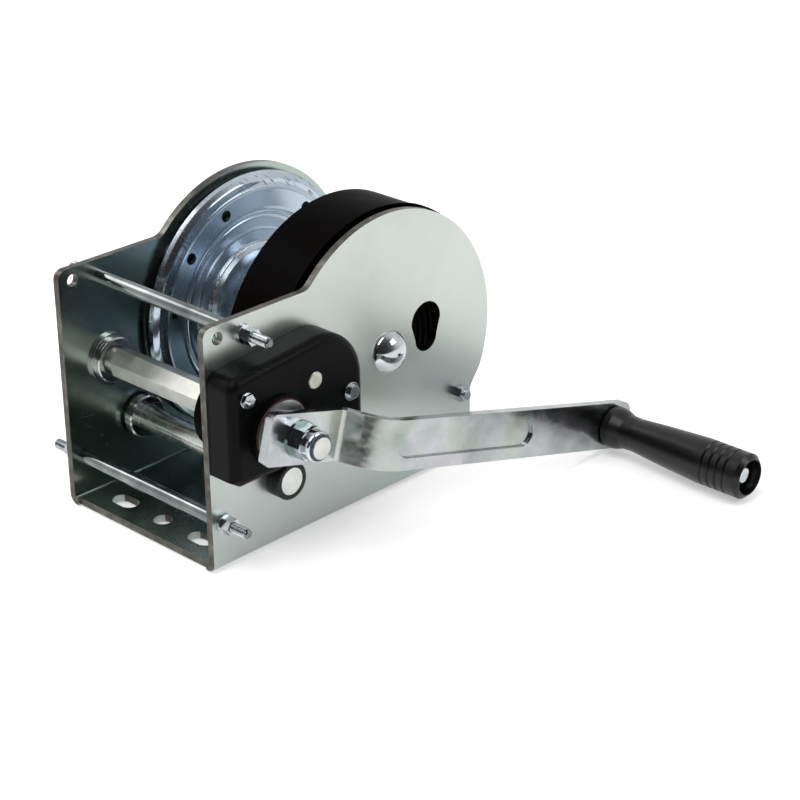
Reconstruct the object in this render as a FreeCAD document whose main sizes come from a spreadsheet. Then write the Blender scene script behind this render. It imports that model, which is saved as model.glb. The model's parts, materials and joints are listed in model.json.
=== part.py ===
"""Hand winch with a bent steel frame, a geared cable drum and a side crank.

Axes: X runs along the shafts with the crank on the +X side, Y runs from the
open front to the drum, Z is up. The origin is the middle of the base underside.
"""
import FreeCAD, Part
import math
import os
import Sketcher

os.makedirs("parts", exist_ok=True)
doc = FreeCAD.newDocument("Winch")
sheet = doc.addObject("Spreadsheet::Sheet", "Sizes")


class Length:
    """A number that also knows the formula that gives it."""

    def __init__(self, text, value):
        self.text = text
        self.value = float(value)

    def __add__(self, other):
        other = as_length(other)
        return Length("(%s + %s)" % (self.text, other.text), self.value + other.value)

    def __radd__(self, other):
        return as_length(other) + self

    def __sub__(self, other):
        other = as_length(other)
        return Length("(%s - %s)" % (self.text, other.text), self.value - other.value)

    def __rsub__(self, other):
        return as_length(other) - self

    def __mul__(self, other):
        other = as_length(other)
        return Length("(%s * %s)" % (self.text, other.text), self.value * other.value)

    def __rmul__(self, other):
        return as_length(other) * self

    def __truediv__(self, other):
        other = as_length(other)
        return Length("(%s / %s)" % (self.text, other.text), self.value / other.value)

    def __neg__(self):
        return Length("(0 - %s)" % self.text, -self.value)


def as_length(item):
    """Turn a plain number into a Length and leave a Length as it is."""
    if isinstance(item, Length):
        return item
    return Length("(%r)" % float(item), item)


def root(item):
    """Square root of a Length."""
    return Length("sqrt(%s)" % item.text, math.sqrt(item.value))


def cosine(item):
    """Cosine of an angle in degrees."""
    return Length("cos(%s)" % item.text, math.cos(math.radians(item.value)))


def sine(item):
    """Sine of an angle in degrees."""
    return Length("sin(%s)" % item.text, math.sin(math.radians(item.value)))


row_number = 0


def size(name, value):
    """Write one driving dimension in the sheet and hand back its Length."""
    global row_number
    row_number += 1
    sheet.set("A%d" % row_number, name)
    sheet.set("B%d" % row_number, str(value))
    sheet.setAlias("B%d" % row_number, name)
    return Length("Sizes." + name, value)


# ---- driving dimensions, millimetres and degrees ---------------------------
frame_width = size("frame_width", 142)
frame_length = size("frame_length", 234)
frame_sheet = size("frame_sheet", 5)
bend_radius = size("bend_radius", 6)
front_height = size("front_height", 163.5)
lobe_radius = size("lobe_radius", 95)
drum_from_rear = size("drum_from_rear", 77.5)
drum_height = size("drum_height", 99.5)
rear_straight = size("rear_straight", 49)
rear_neck_height = size("rear_neck_height", 62)
corner_rounding = size("corner_rounding", 6.5)
front_blend = size("front_blend", 10)
base_setback = size("base_setback", 2)

window_big = size("window_big", 13.6)
window_small = size("window_small", 10)
window_back = size("window_back", 34.5)
window_up = size("window_up", 11)
window_fall = size("window_fall", 11)

corner_hole = size("corner_hole", 8.5)
corner_hole_back = size("corner_hole_back", 11.3)
corner_hole_down = size("corner_hole_down", 8.5)

base_hole = size("base_hole", 13)
base_slot_length = size("base_slot_length", 21)
base_slot_offset = size("base_slot_offset", 37.5)
base_row_inset = size("base_row_inset", 19)

tie_rod_diameter = size("tie_rod_diameter", 9.5)
tie_thread = size("tie_thread", 6)
tie_hole_clearance = size("tie_hole_clearance", 0.4)
tie_stud_reach = size("tie_stud_reach", 23)
tie_nut_flats = size("tie_nut_flats", 10)
tie_nut_height = size("tie_nut_height", 9.5)
washer_radius = size("washer_radius", 6.3)
washer_height = size("washer_height", 1.6)
top_tie_back = size("top_tie_back", 32.6)
top_tie_down = size("top_tie_down", 11.9)
low_tie_back = size("low_tie_back", 9.5)
low_tie_height = size("low_tie_height", 32)

axle_diameter = size("axle_diameter", 20)
axle_reach = size("axle_reach", 5)
cap_diameter = size("cap_diameter", 29)
cap_height = size("cap_height", 9)
running_gap = size("running_gap", 0.1)

drum_radius = size("drum_radius", 40)
drum_wall = size("drum_wall", 4)
drum_left = size("drum_left", -54)
drum_right = size("drum_right", 15)
flange_radius = size("flange_radius", 90.5)
flange_flat_radius = size("flange_flat_radius", 80.5)
flange_sheet = size("flange_sheet", 3)
flange_lip = size("flange_lip", 7)
flange_step_radius = size("flange_step_radius", 65.5)
flange_step = size("flange_step", 1.8)
right_flange_radius = size("right_flange_radius", 88)
hub_radius = size("hub_radius", 15)
clamp_hole = size("clamp_hole", 8)
clamp_ring_radius = size("clamp_ring_radius", 73.2)
clamp_ring_count = size("clamp_ring_count", 6)
clamp_ring_angle = size("clamp_ring_angle", 50)
clamp_middle_radius = size("clamp_middle_radius", 74)
clamp_middle_count = size("clamp_middle_count", 3)
clamp_middle_angle = size("clamp_middle_angle", 20)

gear_backlash = size("gear_backlash", 0.5)
pressure_angle = size("pressure_angle", 20)
drum_module = size("drum_module", 3.5)
drum_teeth = size("drum_teeth", 48)
layshaft_pinion_teeth = size("layshaft_pinion_teeth", 16)
drum_gear_left = size("drum_gear_left", 36)
drum_gear_width = size("drum_gear_width", 10)
crank_module = size("crank_module", 2)
layshaft_gear_teeth = size("layshaft_gear_teeth", 34)
crank_pinion_teeth = size("crank_pinion_teeth", 17)
crank_gear_left = size("crank_gear_left", 53)
crank_gear_width = size("crank_gear_width", 6)
layshaft_bearing_angle = size("layshaft_bearing_angle", 28.4)
crank_bearing_angle = size("crank_bearing_angle", 66.5)

layshaft_diameter = size("layshaft_diameter", 18)
layshaft_seat = size("layshaft_seat", 17)
layshaft_shoulder = size("layshaft_shoulder", -11)
layshaft_collar_radius = size("layshaft_collar_radius", 14.8)
layshaft_collar_right = size("layshaft_collar_right", -57.5)
layshaft_collar_width = size("layshaft_collar_width", 6)
end_ring_radius = size("end_ring_radius", 12.5)
end_ring_depth = size("end_ring_depth", 10.7)

crank_hexagon = size("crank_hexagon", 18)
crank_journal = size("crank_journal", 16)
crank_hexagon_left = size("crank_hexagon_left", -56)
crank_bush_radius = size("crank_bush_radius", 15.5)
crank_bush_flange = size("crank_bush_flange", 18)
crank_bush_face = size("crank_bush_face", -60)
brake_disc_radius = size("brake_disc_radius", 20.3)
crank_thread = size("crank_thread", 14)
crank_stud_end = size("crank_stud_end", 131)
crank_nut_flats = size("crank_nut_flats", 19.5)
crank_nut_height = size("crank_nut_height", 8.5)
lock_ring_radius = size("lock_ring_radius", 9.8)
lock_ring_face = size("lock_ring_face", 129)
crank_washer_height = size("crank_washer_height", 1.3)

guard_radius = size("guard_radius", 95.5)
guard_wall = size("guard_wall", 2.5)
guard_left = size("guard_left", 18)
guard_right = size("guard_right", 61.8)
gear_clearance = size("gear_clearance", 5)
pinion_guard_left = size("pinion_guard_left", 45.6)
guard_bolt_back = size("guard_bolt_back", 65.6)
guard_bolt_down = size("guard_bolt_down", 50.7)
guard_bolt_reach = size("guard_bolt_reach", 9)
guard_bolt_head = size("guard_bolt_head", 4)
guard_boss_radius = size("guard_boss_radius", 8)

housing_depth = size("housing_depth", 22.5)
housing_lobe_radius = size("housing_lobe_radius", 35)
housing_edge = size("housing_edge", 6)
housing_front_gap = size("housing_front_gap", 0.5)
housing_foot = size("housing_foot", 26.5)
housing_lobe_back = size("housing_lobe_back", 6.7)
housing_lobe_down = size("housing_lobe_down", 8.4)
housing_lean = size("housing_lean", 95.3)
housing_fall = size("housing_fall", 6.7)
collar_radius = size("collar_radius", 23)
collar_depth = size("collar_depth", 2.5)
brake_disc_face = size("brake_disc_face", 97.3)
brake_hub_radius = size("brake_hub_radius", 12.5)
screw_flats = size("screw_flats", 8)
screw_height = size("screw_height", 4)
pawl_pin_diameter = size("pawl_pin_diameter", 11.5)
pawl_pin_distance = size("pawl_pin_distance", 38.8)
pawl_pin_angle = size("pawl_pin_angle", 35.2)

arm_thickness = size("arm_thickness", 6.5)
arm_face = size("arm_face", 112)
arm_offset = size("arm_offset", 27.5)
arm_width = size("arm_width", 33)
arm_reach = size("arm_reach", 276.5)
arm_tail = size("arm_tail", 26)
arm_droop = size("arm_droop", -15.9)
arm_bend_start = size("arm_bend_start", 35)
arm_bend_run = size("arm_bend_run", 11.7)
arm_end_margin = size("arm_end_margin", 18)
arm_tip_rounding = size("arm_tip_rounding", 9)
arm_tail_rounding = size("arm_tail_rounding", 4)
arm_near_bend = size("arm_near_bend", 4)
arm_far_bend = size("arm_far_bend", 19)
bead_start = size("bead_start", 60)
bead_end = size("bead_end", 190)
bead_width = size("bead_width", 17)
bead_depth = size("bead_depth", 2.2)

grip_length = size("grip_length", 115)
grip_radius = size("grip_radius", 15.6)
grip_neck_radius = size("grip_neck_radius", 11.7)
grip_collar_radius = size("grip_collar_radius", 14.5)
grip_bolt_radius = size("grip_bolt_radius", 5)
grip_head_radius = size("grip_head_radius", 7.5)
grip_gap = size("grip_gap", 0.4)

doc.recompute()

# ---- places that follow from the sizes -------------------------------------
half_width = frame_width / 2
inner_face = half_width - frame_sheet
front_edge = -frame_length / 2
rear_edge = frame_length / 2
drum_y = rear_edge - drum_from_rear
drum_z = drum_height
drum_centres = drum_module * (drum_teeth + layshaft_pinion_teeth) / 2
crank_centres = crank_module * (layshaft_gear_teeth + crank_pinion_teeth) / 2
lay_y = drum_y - drum_centres * cosine(layshaft_bearing_angle)
lay_z = drum_z - drum_centres * sine(layshaft_bearing_angle)
crank_y = lay_y - crank_centres * cosine(crank_bearing_angle)
crank_z = lay_z + crank_centres * sine(crank_bearing_angle)
pawl_y = crank_y + pawl_pin_distance * cosine(pawl_pin_angle)
pawl_z = crank_z + pawl_pin_distance * sine(pawl_pin_angle)
top_tie_y = front_edge + top_tie_back
top_tie_z = front_height - top_tie_down
low_tie_y = front_edge + low_tie_back
low_tie_z = low_tie_height


# ---- making sketches and features ------------------------------------------
bodies = []


def new_body(label):
    """Start one sub-part."""
    body = doc.addObject("PartDesign::Body", label)
    body.Label = label
    bodies.append(body)
    return body


def place(body, shift_y, shift_z):
    """Carry a body to the axis on which it was turned."""
    body.setExpression("Placement.Base.y", shift_y.text)
    body.setExpression("Placement.Base.z", shift_z.text)


def new_sketch(body, label, role, offset=None):
    """Sketch on one of the body's own origin planes."""
    sketch = body.newObject("Sketcher::SketchObject", label)
    for plane in body.Origin.OriginFeatures:
        if plane.Role == role:
            sketch.AttachmentSupport = (plane, [""])
    sketch.MapMode = "FlatFace"
    if offset is not None:
        offset = as_length(offset)
        sketch.AttachmentOffset = FreeCAD.Placement(
            FreeCAD.Vector(0, 0, offset.value), FreeCAD.Rotation())
        sketch.setExpression("AttachmentOffset.Base.z", offset.text)
    return sketch


def hold(sketch, kind, geometry, point, length):
    """Tie one coordinate of a point to its formula."""
    item = sketch.addConstraint(Sketcher.Constraint(
        kind, -1, 1, geometry, point, length.value))
    sketch.setExpression("Constraints[%d]" % item, length.text)


def outline(sketch, corners):
    """Closed profile; a corner is (x, y), or (x, y, centre x, centre y, way round)
    where an arc leads onward, +1 against the clock and -1 with it."""
    spots = [(as_length(c[0]), as_length(c[1])) for c in corners]
    count = len(corners)
    first = sketch.GeometryCount
    starting = []
    for index in range(count):
        here = spots[index]
        after = spots[(index + 1) % count]
        start = FreeCAD.Vector(here[0].value, here[1].value, 0)
        end = FreeCAD.Vector(after[0].value, after[1].value, 0)
        if len(corners[index]) == 2:
            sketch.addGeometry(Part.LineSegment(start, end), False)
            starting.append(1)
            continue
        centre = FreeCAD.Vector(as_length(corners[index][2]).value,
                                as_length(corners[index][3]).value, 0)
        way = corners[index][4]
        radius = (start - centre).Length
        begin = math.atan2(start.y - centre.y, start.x - centre.x)
        finish = math.atan2(end.y - centre.y, end.x - centre.x)
        whole = Part.Circle(centre, FreeCAD.Vector(0, 0, 1), radius)
        if way > 0:
            sketch.addGeometry(Part.ArcOfCircle(whole, begin, finish), False)
            starting.append(1)
        else:
            sketch.addGeometry(Part.ArcOfCircle(whole, finish, begin), False)
            starting.append(2)
    for index in range(count):
        following = (index + 1) % count
        leaving = 3 - starting[index]
        sketch.addConstraint(Sketcher.Constraint(
            "Coincident", first + index, leaving, first + following, starting[following]))
        hold(sketch, "DistanceX", first + index, leaving, spots[following][0])
        hold(sketch, "DistanceY", first + index, leaving, spots[following][1])
        if len(corners[index]) > 2:
            wide = abs(spots[following][0].value - spots[index][0].value)
            tall = abs(spots[following][1].value - spots[index][1].value)
            if tall > wide:
                hold(sketch, "DistanceX", first + index, 3, as_length(corners[index][2]))
            else:
                hold(sketch, "DistanceY", first + index, 3, as_length(corners[index][3]))


def circle(sketch, centre_x, centre_y, radius):
    """A full circle held by its centre and radius."""
    centre_x = as_length(centre_x)
    centre_y = as_length(centre_y)
    radius = as_length(radius)
    spot = FreeCAD.Vector(centre_x.value, centre_y.value, 0)
    item = sketch.addGeometry(Part.Circle(spot, FreeCAD.Vector(0, 0, 1), radius.value))
    number = sketch.addConstraint(Sketcher.Constraint("Radius", item, radius.value))
    sketch.setExpression("Constraints[%d]" % number, radius.text)
    hold(sketch, "DistanceX", item, 3, centre_x)
    hold(sketch, "DistanceY", item, 3, centre_y)


def slot(sketch, centre_x, centre_y, length, width):
    """A round-ended slot along the sketch's x."""
    reach = (length - width) / 2
    half = width / 2
    outline(sketch, [
        (centre_x - reach, centre_y - half),
        (centre_x + reach, centre_y - half, centre_x + reach, centre_y, 1),
        (centre_x + reach, centre_y + half),
        (centre_x - reach, centre_y + half, centre_x - reach, centre_y, 1)])


def hexagon(sketch, across_flats):
    """A hexagon round the origin, a corner to each side."""
    corner = across_flats / math.sqrt(3)
    half = across_flats / 2
    outline(sketch, [
        (corner, 0), (corner / 2, half), (-corner / 2, half),
        (-corner, 0), (-corner / 2, -half), (corner / 2, -half)])


def pad(body, sketch, length, label):
    """Raise a sketch along its normal."""
    length = as_length(length)
    feature = body.newObject("PartDesign::Pad", label)
    feature.Profile = sketch
    feature.Length = length.value
    feature.setExpression("Length", length.text)
    sketch.Visibility = False
    doc.recompute()
    return feature


def cut(body, sketch, length, label, both=False):
    """Pocket a sketch along its normal, and prove that material went."""
    before = body.Shape.Volume
    length = as_length(length)
    feature = body.newObject("PartDesign::Pocket", label)
    feature.Profile = sketch
    feature.Length = length.value
    feature.setExpression("Length", length.text)
    feature.Reversed = True
    if both:
        feature.Midplane = True
    doc.recompute()
    if body.Shape.Volume > before - 1e-6:
        raise RuntimeError("nothing was cut by " + label)
    return feature


def turn(body, sketch, label):
    """Revolve a profile about the sketch's own x axis."""
    feature = body.newObject("PartDesign::Revolution", label)
    feature.Profile = sketch
    feature.ReferenceAxis = (sketch, ["H_Axis"])
    feature.Angle = 360
    doc.recompute()
    return feature


def turned(label, corners, axis_y, axis_z):
    """A body of revolution on a shaft axis, from an (x, radius) profile."""
    body = new_body(label)
    sketch = new_sketch(body, label + "_profile", "XZ_Plane")
    outline(sketch, corners)
    turn(body, sketch, label + "_turning")
    place(body, axis_y, axis_z)
    return body


def tube(label, left, right, inner, outer, axis_y, axis_z):
    """A plain ring or tube on a shaft axis."""
    return turned(label, [(left, inner), (right, inner), (right, outer), (left, outer)],
                  axis_y, axis_z)


def round_off(body, feature, edges, radius, label):
    """Fillet the named edges of a feature."""
    radius = as_length(radius)
    fillet = body.newObject("PartDesign::Fillet", label)
    fillet.Base = (feature, edges)
    fillet.Radius = radius.value
    fillet.setExpression("Radius", radius.text)
    doc.recompute()
    return fillet


def repeat(body, feature, sketch, count, label):
    """Repeat a feature round the shaft axis."""
    before = body.Shape.Volume
    pattern = body.newObject("PartDesign::PolarPattern", label)
    pattern.Originals = [feature]
    for axis in body.Origin.OriginFeatures:
        if axis.Role == "X_Axis":
            pattern.Axis = (axis, [""])
    pattern.Angle = 360
    pattern.Occurrences = int(as_length(count).value)
    pattern.setExpression("Occurrences", as_length(count).text)
    body.Tip = pattern
    doc.recompute()
    if abs(body.Shape.Volume - before) < 1e-6:
        raise RuntimeError("nothing was repeated by " + label)
    return pattern


def edges_where(feature, test):
    """Names of the edges whose shape passes the test."""
    return ["Edge%d" % (index + 1) for index, edge in enumerate(feature.Shape.Edges)
            if test(edge)]


def along_x(edge, spot_y, spot_z):
    """A straight edge parallel to X through a place in the side view."""
    first = edge.Vertexes[0].Point
    last = edge.Vertexes[-1].Point
    if abs(first.x - last.x) < 0.5 or abs(first.y - last.y) > 1e-4:
        return False
    return math.hypot(first.y - spot_y.value, first.z - spot_z.value) < 0.01


def ring_at(edge, spot_x, radius):
    """A circle about the X axis at a place and radius."""
    if not isinstance(edge.Curve, Part.Circle):
        return False
    if abs(edge.Curve.Radius - as_length(radius).value) > 0.01:
        return False
    return abs(edge.Curve.Center.x - as_length(spot_x).value) < 0.01


# ---- frame: one bent sheet, a base and two matching side plates ------------
frame = new_body("frame")
lobe_front_y = drum_y - root(lobe_radius * lobe_radius
                             - (front_height - drum_z) * (front_height - drum_z))
neck_y = drum_y + root(lobe_radius * lobe_radius
                       - (drum_z - rear_neck_height) * (drum_z - rear_neck_height))
side_sketch = new_sketch(frame, "frame_side", "YZ_Plane", -half_width)
outline(side_sketch, [
    (front_edge, 0),
    (rear_edge, 0),
    (rear_edge, rear_straight),
    (neck_y, rear_neck_height, drum_y, drum_z, 1),
    (lobe_front_y, front_height),
    (front_edge, front_height)])
side_pad = pad(frame, side_sketch, frame_width, "frame_side_pad")
between = new_sketch(frame, "frame_inside", "XZ_Plane")
outline(between, [
    (-inner_face, frame_sheet), (inner_face, frame_sheet),
    (inner_face, drum_z + lobe_radius + 20), (-inner_face, drum_z + lobe_radius + 20)])
frame_cut = cut(frame, between, frame_length * 3, "frame_inside_cut", True)
blends = round_off(frame, frame_cut, edges_where(
    frame_cut, lambda e: along_x(e, front_edge, front_height)), corner_rounding,
    "front_corners")
blends = round_off(frame, blends, edges_where(
    blends, lambda e: along_x(e, lobe_front_y, front_height)), front_blend,
    "front_blends")
blends = round_off(frame, blends, edges_where(
    blends, lambda e: along_x(e, rear_edge, rear_straight)), front_blend,
    "rear_blends")


def long_base_edge(edge, spot_x, spot_z):
    """A base edge parallel to Y."""
    first = edge.Vertexes[0].Point
    last = edge.Vertexes[-1].Point
    if abs(first.y - last.y) < 50 or abs(first.x - last.x) > 1e-4:
        return False
    return (abs(abs(first.x) - spot_x.value) < 0.01
            and abs(first.z - spot_z.value) < 0.01)


blends = round_off(frame, blends, edges_where(
    blends, lambda e: long_base_edge(e, half_width, as_length(0))), bend_radius,
    "outer_bends")
blends = round_off(frame, blends, edges_where(
    blends, lambda e: long_base_edge(e, inner_face, frame_sheet)), bend_radius / 4,
    "inner_bends")
side_holes = new_sketch(frame, "side_holes", "YZ_Plane", 0)
tie_hole_radius = (tie_thread + tie_hole_clearance) / 2
circle(side_holes, top_tie_y, top_tie_z, tie_hole_radius)
circle(side_holes, low_tie_y, low_tie_z, tie_hole_radius)
circle(side_holes, front_edge + corner_hole_back, front_height - corner_hole_down,
       corner_hole / 2)
circle(side_holes, drum_y, drum_z, axle_diameter / 2)
circle(side_holes, lay_y, lay_z, layshaft_diameter / 2 + 2)
circle(side_holes, crank_y, crank_z, crank_journal / 2 + 3)
cut(frame, side_holes, frame_width * 2, "side_holes_cut", True)
base_holes = new_sketch(frame, "base_holes", "XY_Plane", 0)
front_row = front_edge + base_row_inset
rear_row = rear_edge - base_row_inset
for row in (front_row, rear_row):
    slot(base_holes, -base_slot_offset, row, base_slot_length, base_hole)
    slot(base_holes, base_slot_offset, row, base_slot_length, base_hole)
    circle(base_holes, 0, row, base_hole / 2)
cut(frame, base_holes, frame_sheet * 3, "base_holes_cut", True)
base_front = new_sketch(frame, "base_front", "XY_Plane", 0)
notch = inner_face - bend_radius / 2
outline(base_front, [
    (-notch, front_edge - 5), (notch, front_edge - 5),
    (notch, front_edge + base_setback), (-notch, front_edge + base_setback)])
cut(frame, base_front, frame_sheet * 3, "base_front_cut", True)
window = new_sketch(frame, "pear_window", "YZ_Plane", half_width + 1)
window_y = drum_y + window_back
window_z = drum_z + window_up
outline(window, [
    (window_y + window_big, window_z, window_y, window_z, 1),
    (window_y - window_big, window_z),
    (window_y - window_small, window_z - window_fall,
     window_y, window_z - window_fall, 1),
    (window_y + window_small, window_z - window_fall)])
cut(frame, window, -frame_sheet - 2, "pear_window_cut")
bolt_y = drum_y + guard_bolt_back
bolt_z = drum_z - guard_bolt_down
guard_bolt_hole = new_sketch(frame, "guard_bolt_hole", "YZ_Plane", half_width + 1)
circle(guard_bolt_hole, bolt_y, bolt_z, tie_hole_radius)
cut(frame, guard_bolt_hole, -frame_sheet - 2, "guard_bolt_hole_cut")


# ---- tie rods across the open front, with their nuts ------------------------
def tie_rod(label, axis_y, axis_z):
    """A shouldered rod between the plates with a threaded end through each."""
    shoulder = tie_rod_diameter / 2
    stud = tie_thread / 2
    end = half_width + tie_stud_reach
    return turned(label, [
        (-end, 0), (-end, stud - 0.8), (-end + 0.8, stud), (-inner_face, stud),
        (-inner_face, shoulder), (inner_face, shoulder), (inner_face, stud),
        (end - 0.8, stud), (end, stud - 0.8), (end, 0)], axis_y, axis_z)


def round_pad(body, label, face, radius, bore, height):
    """A disc with a bore, added to a body on its own axis."""
    disc = new_sketch(body, label, "YZ_Plane", face)
    circle(disc, 0, 0, radius)
    circle(disc, 0, 0, bore)
    return pad(body, disc, height, label + "_pad")


def hex_nut(label, face, height, across_flats, bore, axis_y, axis_z):
    """A plain nut with its lower face at a place along X."""
    body = new_body(label)
    sketch = new_sketch(body, label + "_hexagon", "YZ_Plane", face)
    hexagon(sketch, across_flats)
    circle(sketch, 0, 0, bore)
    pad(body, sketch, height, label + "_height")
    place(body, axis_y, axis_z)
    return body


def washer_nut(label, side, axis_y, axis_z):
    """A nut and its washer against a side plate."""
    if side > 0:
        nut = hex_nut(label, half_width + washer_height, tie_nut_height - washer_height,
                      tie_nut_flats, thread_bore, axis_y, axis_z)
        round_pad(nut, label + "_washer", half_width, washer_radius, thread_bore,
                  washer_height)
    else:
        nut = hex_nut(label, -half_width - tie_nut_height, tie_nut_height - washer_height,
                      tie_nut_flats, thread_bore, axis_y, axis_z)
        round_pad(nut, label + "_washer", -half_width - washer_height, washer_radius,
                  thread_bore, washer_height)


thread_bore = tie_thread / 2
top_tie_rod = tie_rod("top_tie_rod", top_tie_y, top_tie_z)
low_tie_rod = tie_rod("low_tie_rod", low_tie_y, low_tie_z)
washer_nut("top_nut_right", 1, top_tie_y, top_tie_z)
washer_nut("top_nut_left", -1, top_tie_y, top_tie_z)
washer_nut("low_nut_right", 1, low_tie_y, low_tie_z)
washer_nut("low_nut_left", -1, low_tie_y, low_tie_z)

# ---- drum axle with a push-on dome cap at each end --------------------------
axle_end = half_width + axle_reach
axle_radius = axle_diameter / 2
drum_axle = turned("drum_axle", [
    (-axle_end, 0), (-axle_end, axle_radius), (axle_end, axle_radius), (axle_end, 0)],
    drum_y, drum_z)


def dome_cap(label, side):
    """A sprung dome over the axle end, its rim on the plate."""
    rim = cap_diameter / 2
    face = half_width * side
    inside = rim - 1.2
    return turned(label, [
        (face, rim), (face + side * 2, rim),
        (face + side * cap_height * 0.55, rim * 0.86),
        (face + side * cap_height * 0.85, rim * 0.55),
        (face + side * cap_height, 0),
        (face + side * (cap_height - 1.2), 0),
        (face + side * (axle_reach + 0.6), axle_radius),
        (face, axle_radius), (face, inside)], drum_y, drum_z)


dome_cap("dome_cap_right", 1)
dome_cap("dome_cap_left", -1)

# ---- drum: hub, core tube, two flanges and the big gear ---------------------
hub_end = inner_face - 0.5
tube("drum_hub", -hub_end, hub_end, axle_radius + running_gap, hub_radius,
     drum_y, drum_z)
dish = drum_left - flange_step
core_inside = drum_radius - drum_wall
turned("drum_core", [
    (dish, core_inside), (drum_right, core_inside), (drum_right, drum_radius),
    (dish + 4.5, drum_radius), (dish, drum_radius + 3.5)], drum_y, drum_z)
left_flange = turned("drum_flange_left", [
    (drum_left, flange_flat_radius),
    (drum_left, flange_step_radius),
    (dish, flange_step_radius - flange_step),
    (dish, hub_radius),
    (dish - flange_sheet, hub_radius),
    (dish - flange_sheet, flange_step_radius - flange_step - 1),
    (drum_left - flange_sheet, flange_step_radius - 1),
    (drum_left - flange_sheet, flange_flat_radius - 0.6),
    (drum_left - flange_lip * 0.63, flange_radius - 5.7),
    (drum_left - flange_lip, flange_radius - flange_sheet),
    (drum_left - flange_lip, flange_radius),
    (drum_left - flange_lip * 0.6, flange_radius - 0.9),
    (drum_left - flange_lip * 0.23, flange_radius - 4.5)], drum_y, drum_z)


def clamp_holes(label, ring_radius, first_angle, count):
    """Holes evenly round the drum flange, the first at an angle."""
    sketch = new_sketch(left_flange, label, "YZ_Plane", drum_left - flange_sheet - 1)
    circle(sketch, ring_radius * cosine(first_angle), ring_radius * sine(first_angle),
           clamp_hole / 2)
    first = cut(left_flange, sketch, flange_sheet + 2, label + "_cut")
    repeat(left_flange, first, sketch, count, label + "_ring")


clamp_holes("clamp_hole", clamp_ring_radius, clamp_ring_angle, clamp_ring_count)
clamp_holes("clamp_middle_hole", clamp_middle_radius, clamp_middle_angle,
            clamp_middle_count)
tube("drum_flange_right", drum_right, drum_right + flange_sheet, hub_radius,
     right_flange_radius, drum_y, drum_z)


def spur_gear(label, module, teeth, left, width, bore, axis_y, axis_z, gap_angle):
    """A spur gear with involute flanks and one tooth gap centred at an angle."""
    body = new_body(label)
    blank = new_sketch(body, label + "_blank", "YZ_Plane", left)
    circle(blank, 0, 0, module * (teeth + 2) / 2)
    circle(blank, 0, 0, bore)
    pad(body, blank, width, label + "_width")
    count = teeth.value
    pitch = module.value * count / 2
    base = pitch * math.cos(math.radians(pressure_angle.value))
    outer = pitch + module.value
    bottom = pitch - module.value * 1.25
    thinning = gear_backlash.value / (4 * pitch)

    def involute(angle):
        return math.tan(angle) - angle

    def gap_half(radius):
        """Half the angle of the gap at a radius."""
        press = math.acos(min(1.0, base / radius))
        tooth = math.pi / (2 * count) - thinning
        tooth += involute(math.radians(pressure_angle.value)) - involute(press)
        return math.pi / count - tooth

    middle_angle = math.radians(gap_angle)

    def spot(radius, half_angle):
        angle = middle_angle + half_angle
        return FreeCAD.Vector(radius * math.cos(angle), radius * math.sin(angle), 0)

    low = max(bottom, base)
    between_radius = (low + outer) / 2
    path = []
    for side in (-1, 1):
        path.append([spot(bottom, side * gap_half(low)), spot(low, side * gap_half(low)),
                     spot(between_radius, side * gap_half(between_radius)),
                     spot(outer, side * gap_half(outer)),
                     spot(outer + 1, side * gap_half(outer))])
    gap = new_sketch(body, label + "_gap", "YZ_Plane", left - 1)
    edges = [Part.LineSegment(path[0][4], path[0][3]),
             Part.Arc(path[0][3], path[0][2], path[0][1])]
    if low > bottom + 1e-6:
        edges.append(Part.LineSegment(path[0][1], path[0][0]))
    edges.append(Part.LineSegment(path[0][0], path[1][0]))
    if low > bottom + 1e-6:
        edges.append(Part.LineSegment(path[1][0], path[1][1]))
    edges.append(Part.Arc(path[1][1], path[1][2], path[1][3]))
    edges.append(Part.LineSegment(path[1][3], path[1][4]))
    edges.append(Part.LineSegment(path[1][4], path[0][4]))
    gap.addGeometry(edges, False)
    doc.recompute()
    tooth_gap = cut(body, gap, width + 2, label + "_gap_cut")
    repeat(body, tooth_gap, gap, teeth, label + "_teeth")
    place(body, axis_y, axis_z)
    return body


lay_angle = 180 + layshaft_bearing_angle.value
spur_gear("drum_gear", drum_module, drum_teeth, drum_gear_left, drum_gear_width,
          hub_radius, drum_y, drum_z, lay_angle)

# ---- layshaft: a stepped shaft with the small and the middle gear -----------
small_seat = layshaft_diameter / 2
large_seat = layshaft_seat / 2
end_ring_face = half_width + end_ring_depth
turned("layshaft", [
    (-half_width + 0.5, 0), (-half_width + 0.5, small_seat),
    (layshaft_collar_right + 0.5, small_seat), (layshaft_collar_right + 0.5, large_seat),
    (layshaft_shoulder, large_seat), (layshaft_shoulder, small_seat),
    (end_ring_face - 0.3, small_seat), (end_ring_face - 0.3, 0)], lay_y, lay_z)
spur_gear("layshaft_pinion", drum_module, layshaft_pinion_teeth, drum_gear_left - 1,
          drum_gear_width + 2, small_seat, lay_y, lay_z,
          layshaft_bearing_angle.value + 180.0 / layshaft_pinion_teeth.value)
lay_to_crank = 180 - crank_bearing_angle.value
spur_gear("layshaft_gear", crank_module, layshaft_gear_teeth, crank_gear_left,
          crank_gear_width, small_seat, lay_y, lay_z, lay_to_crank)
bush_in_plate = layshaft_diameter / 2 + 2
turned("layshaft_bush_left", [
    (-half_width, small_seat + running_gap), (layshaft_collar_right, small_seat + running_gap),
    (layshaft_collar_right, layshaft_collar_radius - 1),
    (layshaft_collar_right - 1, layshaft_collar_radius),
    (layshaft_collar_right - layshaft_collar_width, layshaft_collar_radius),
    (layshaft_collar_right - layshaft_collar_width, bush_in_plate),
    (-half_width, bush_in_plate)], lay_y, lay_z)
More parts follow.
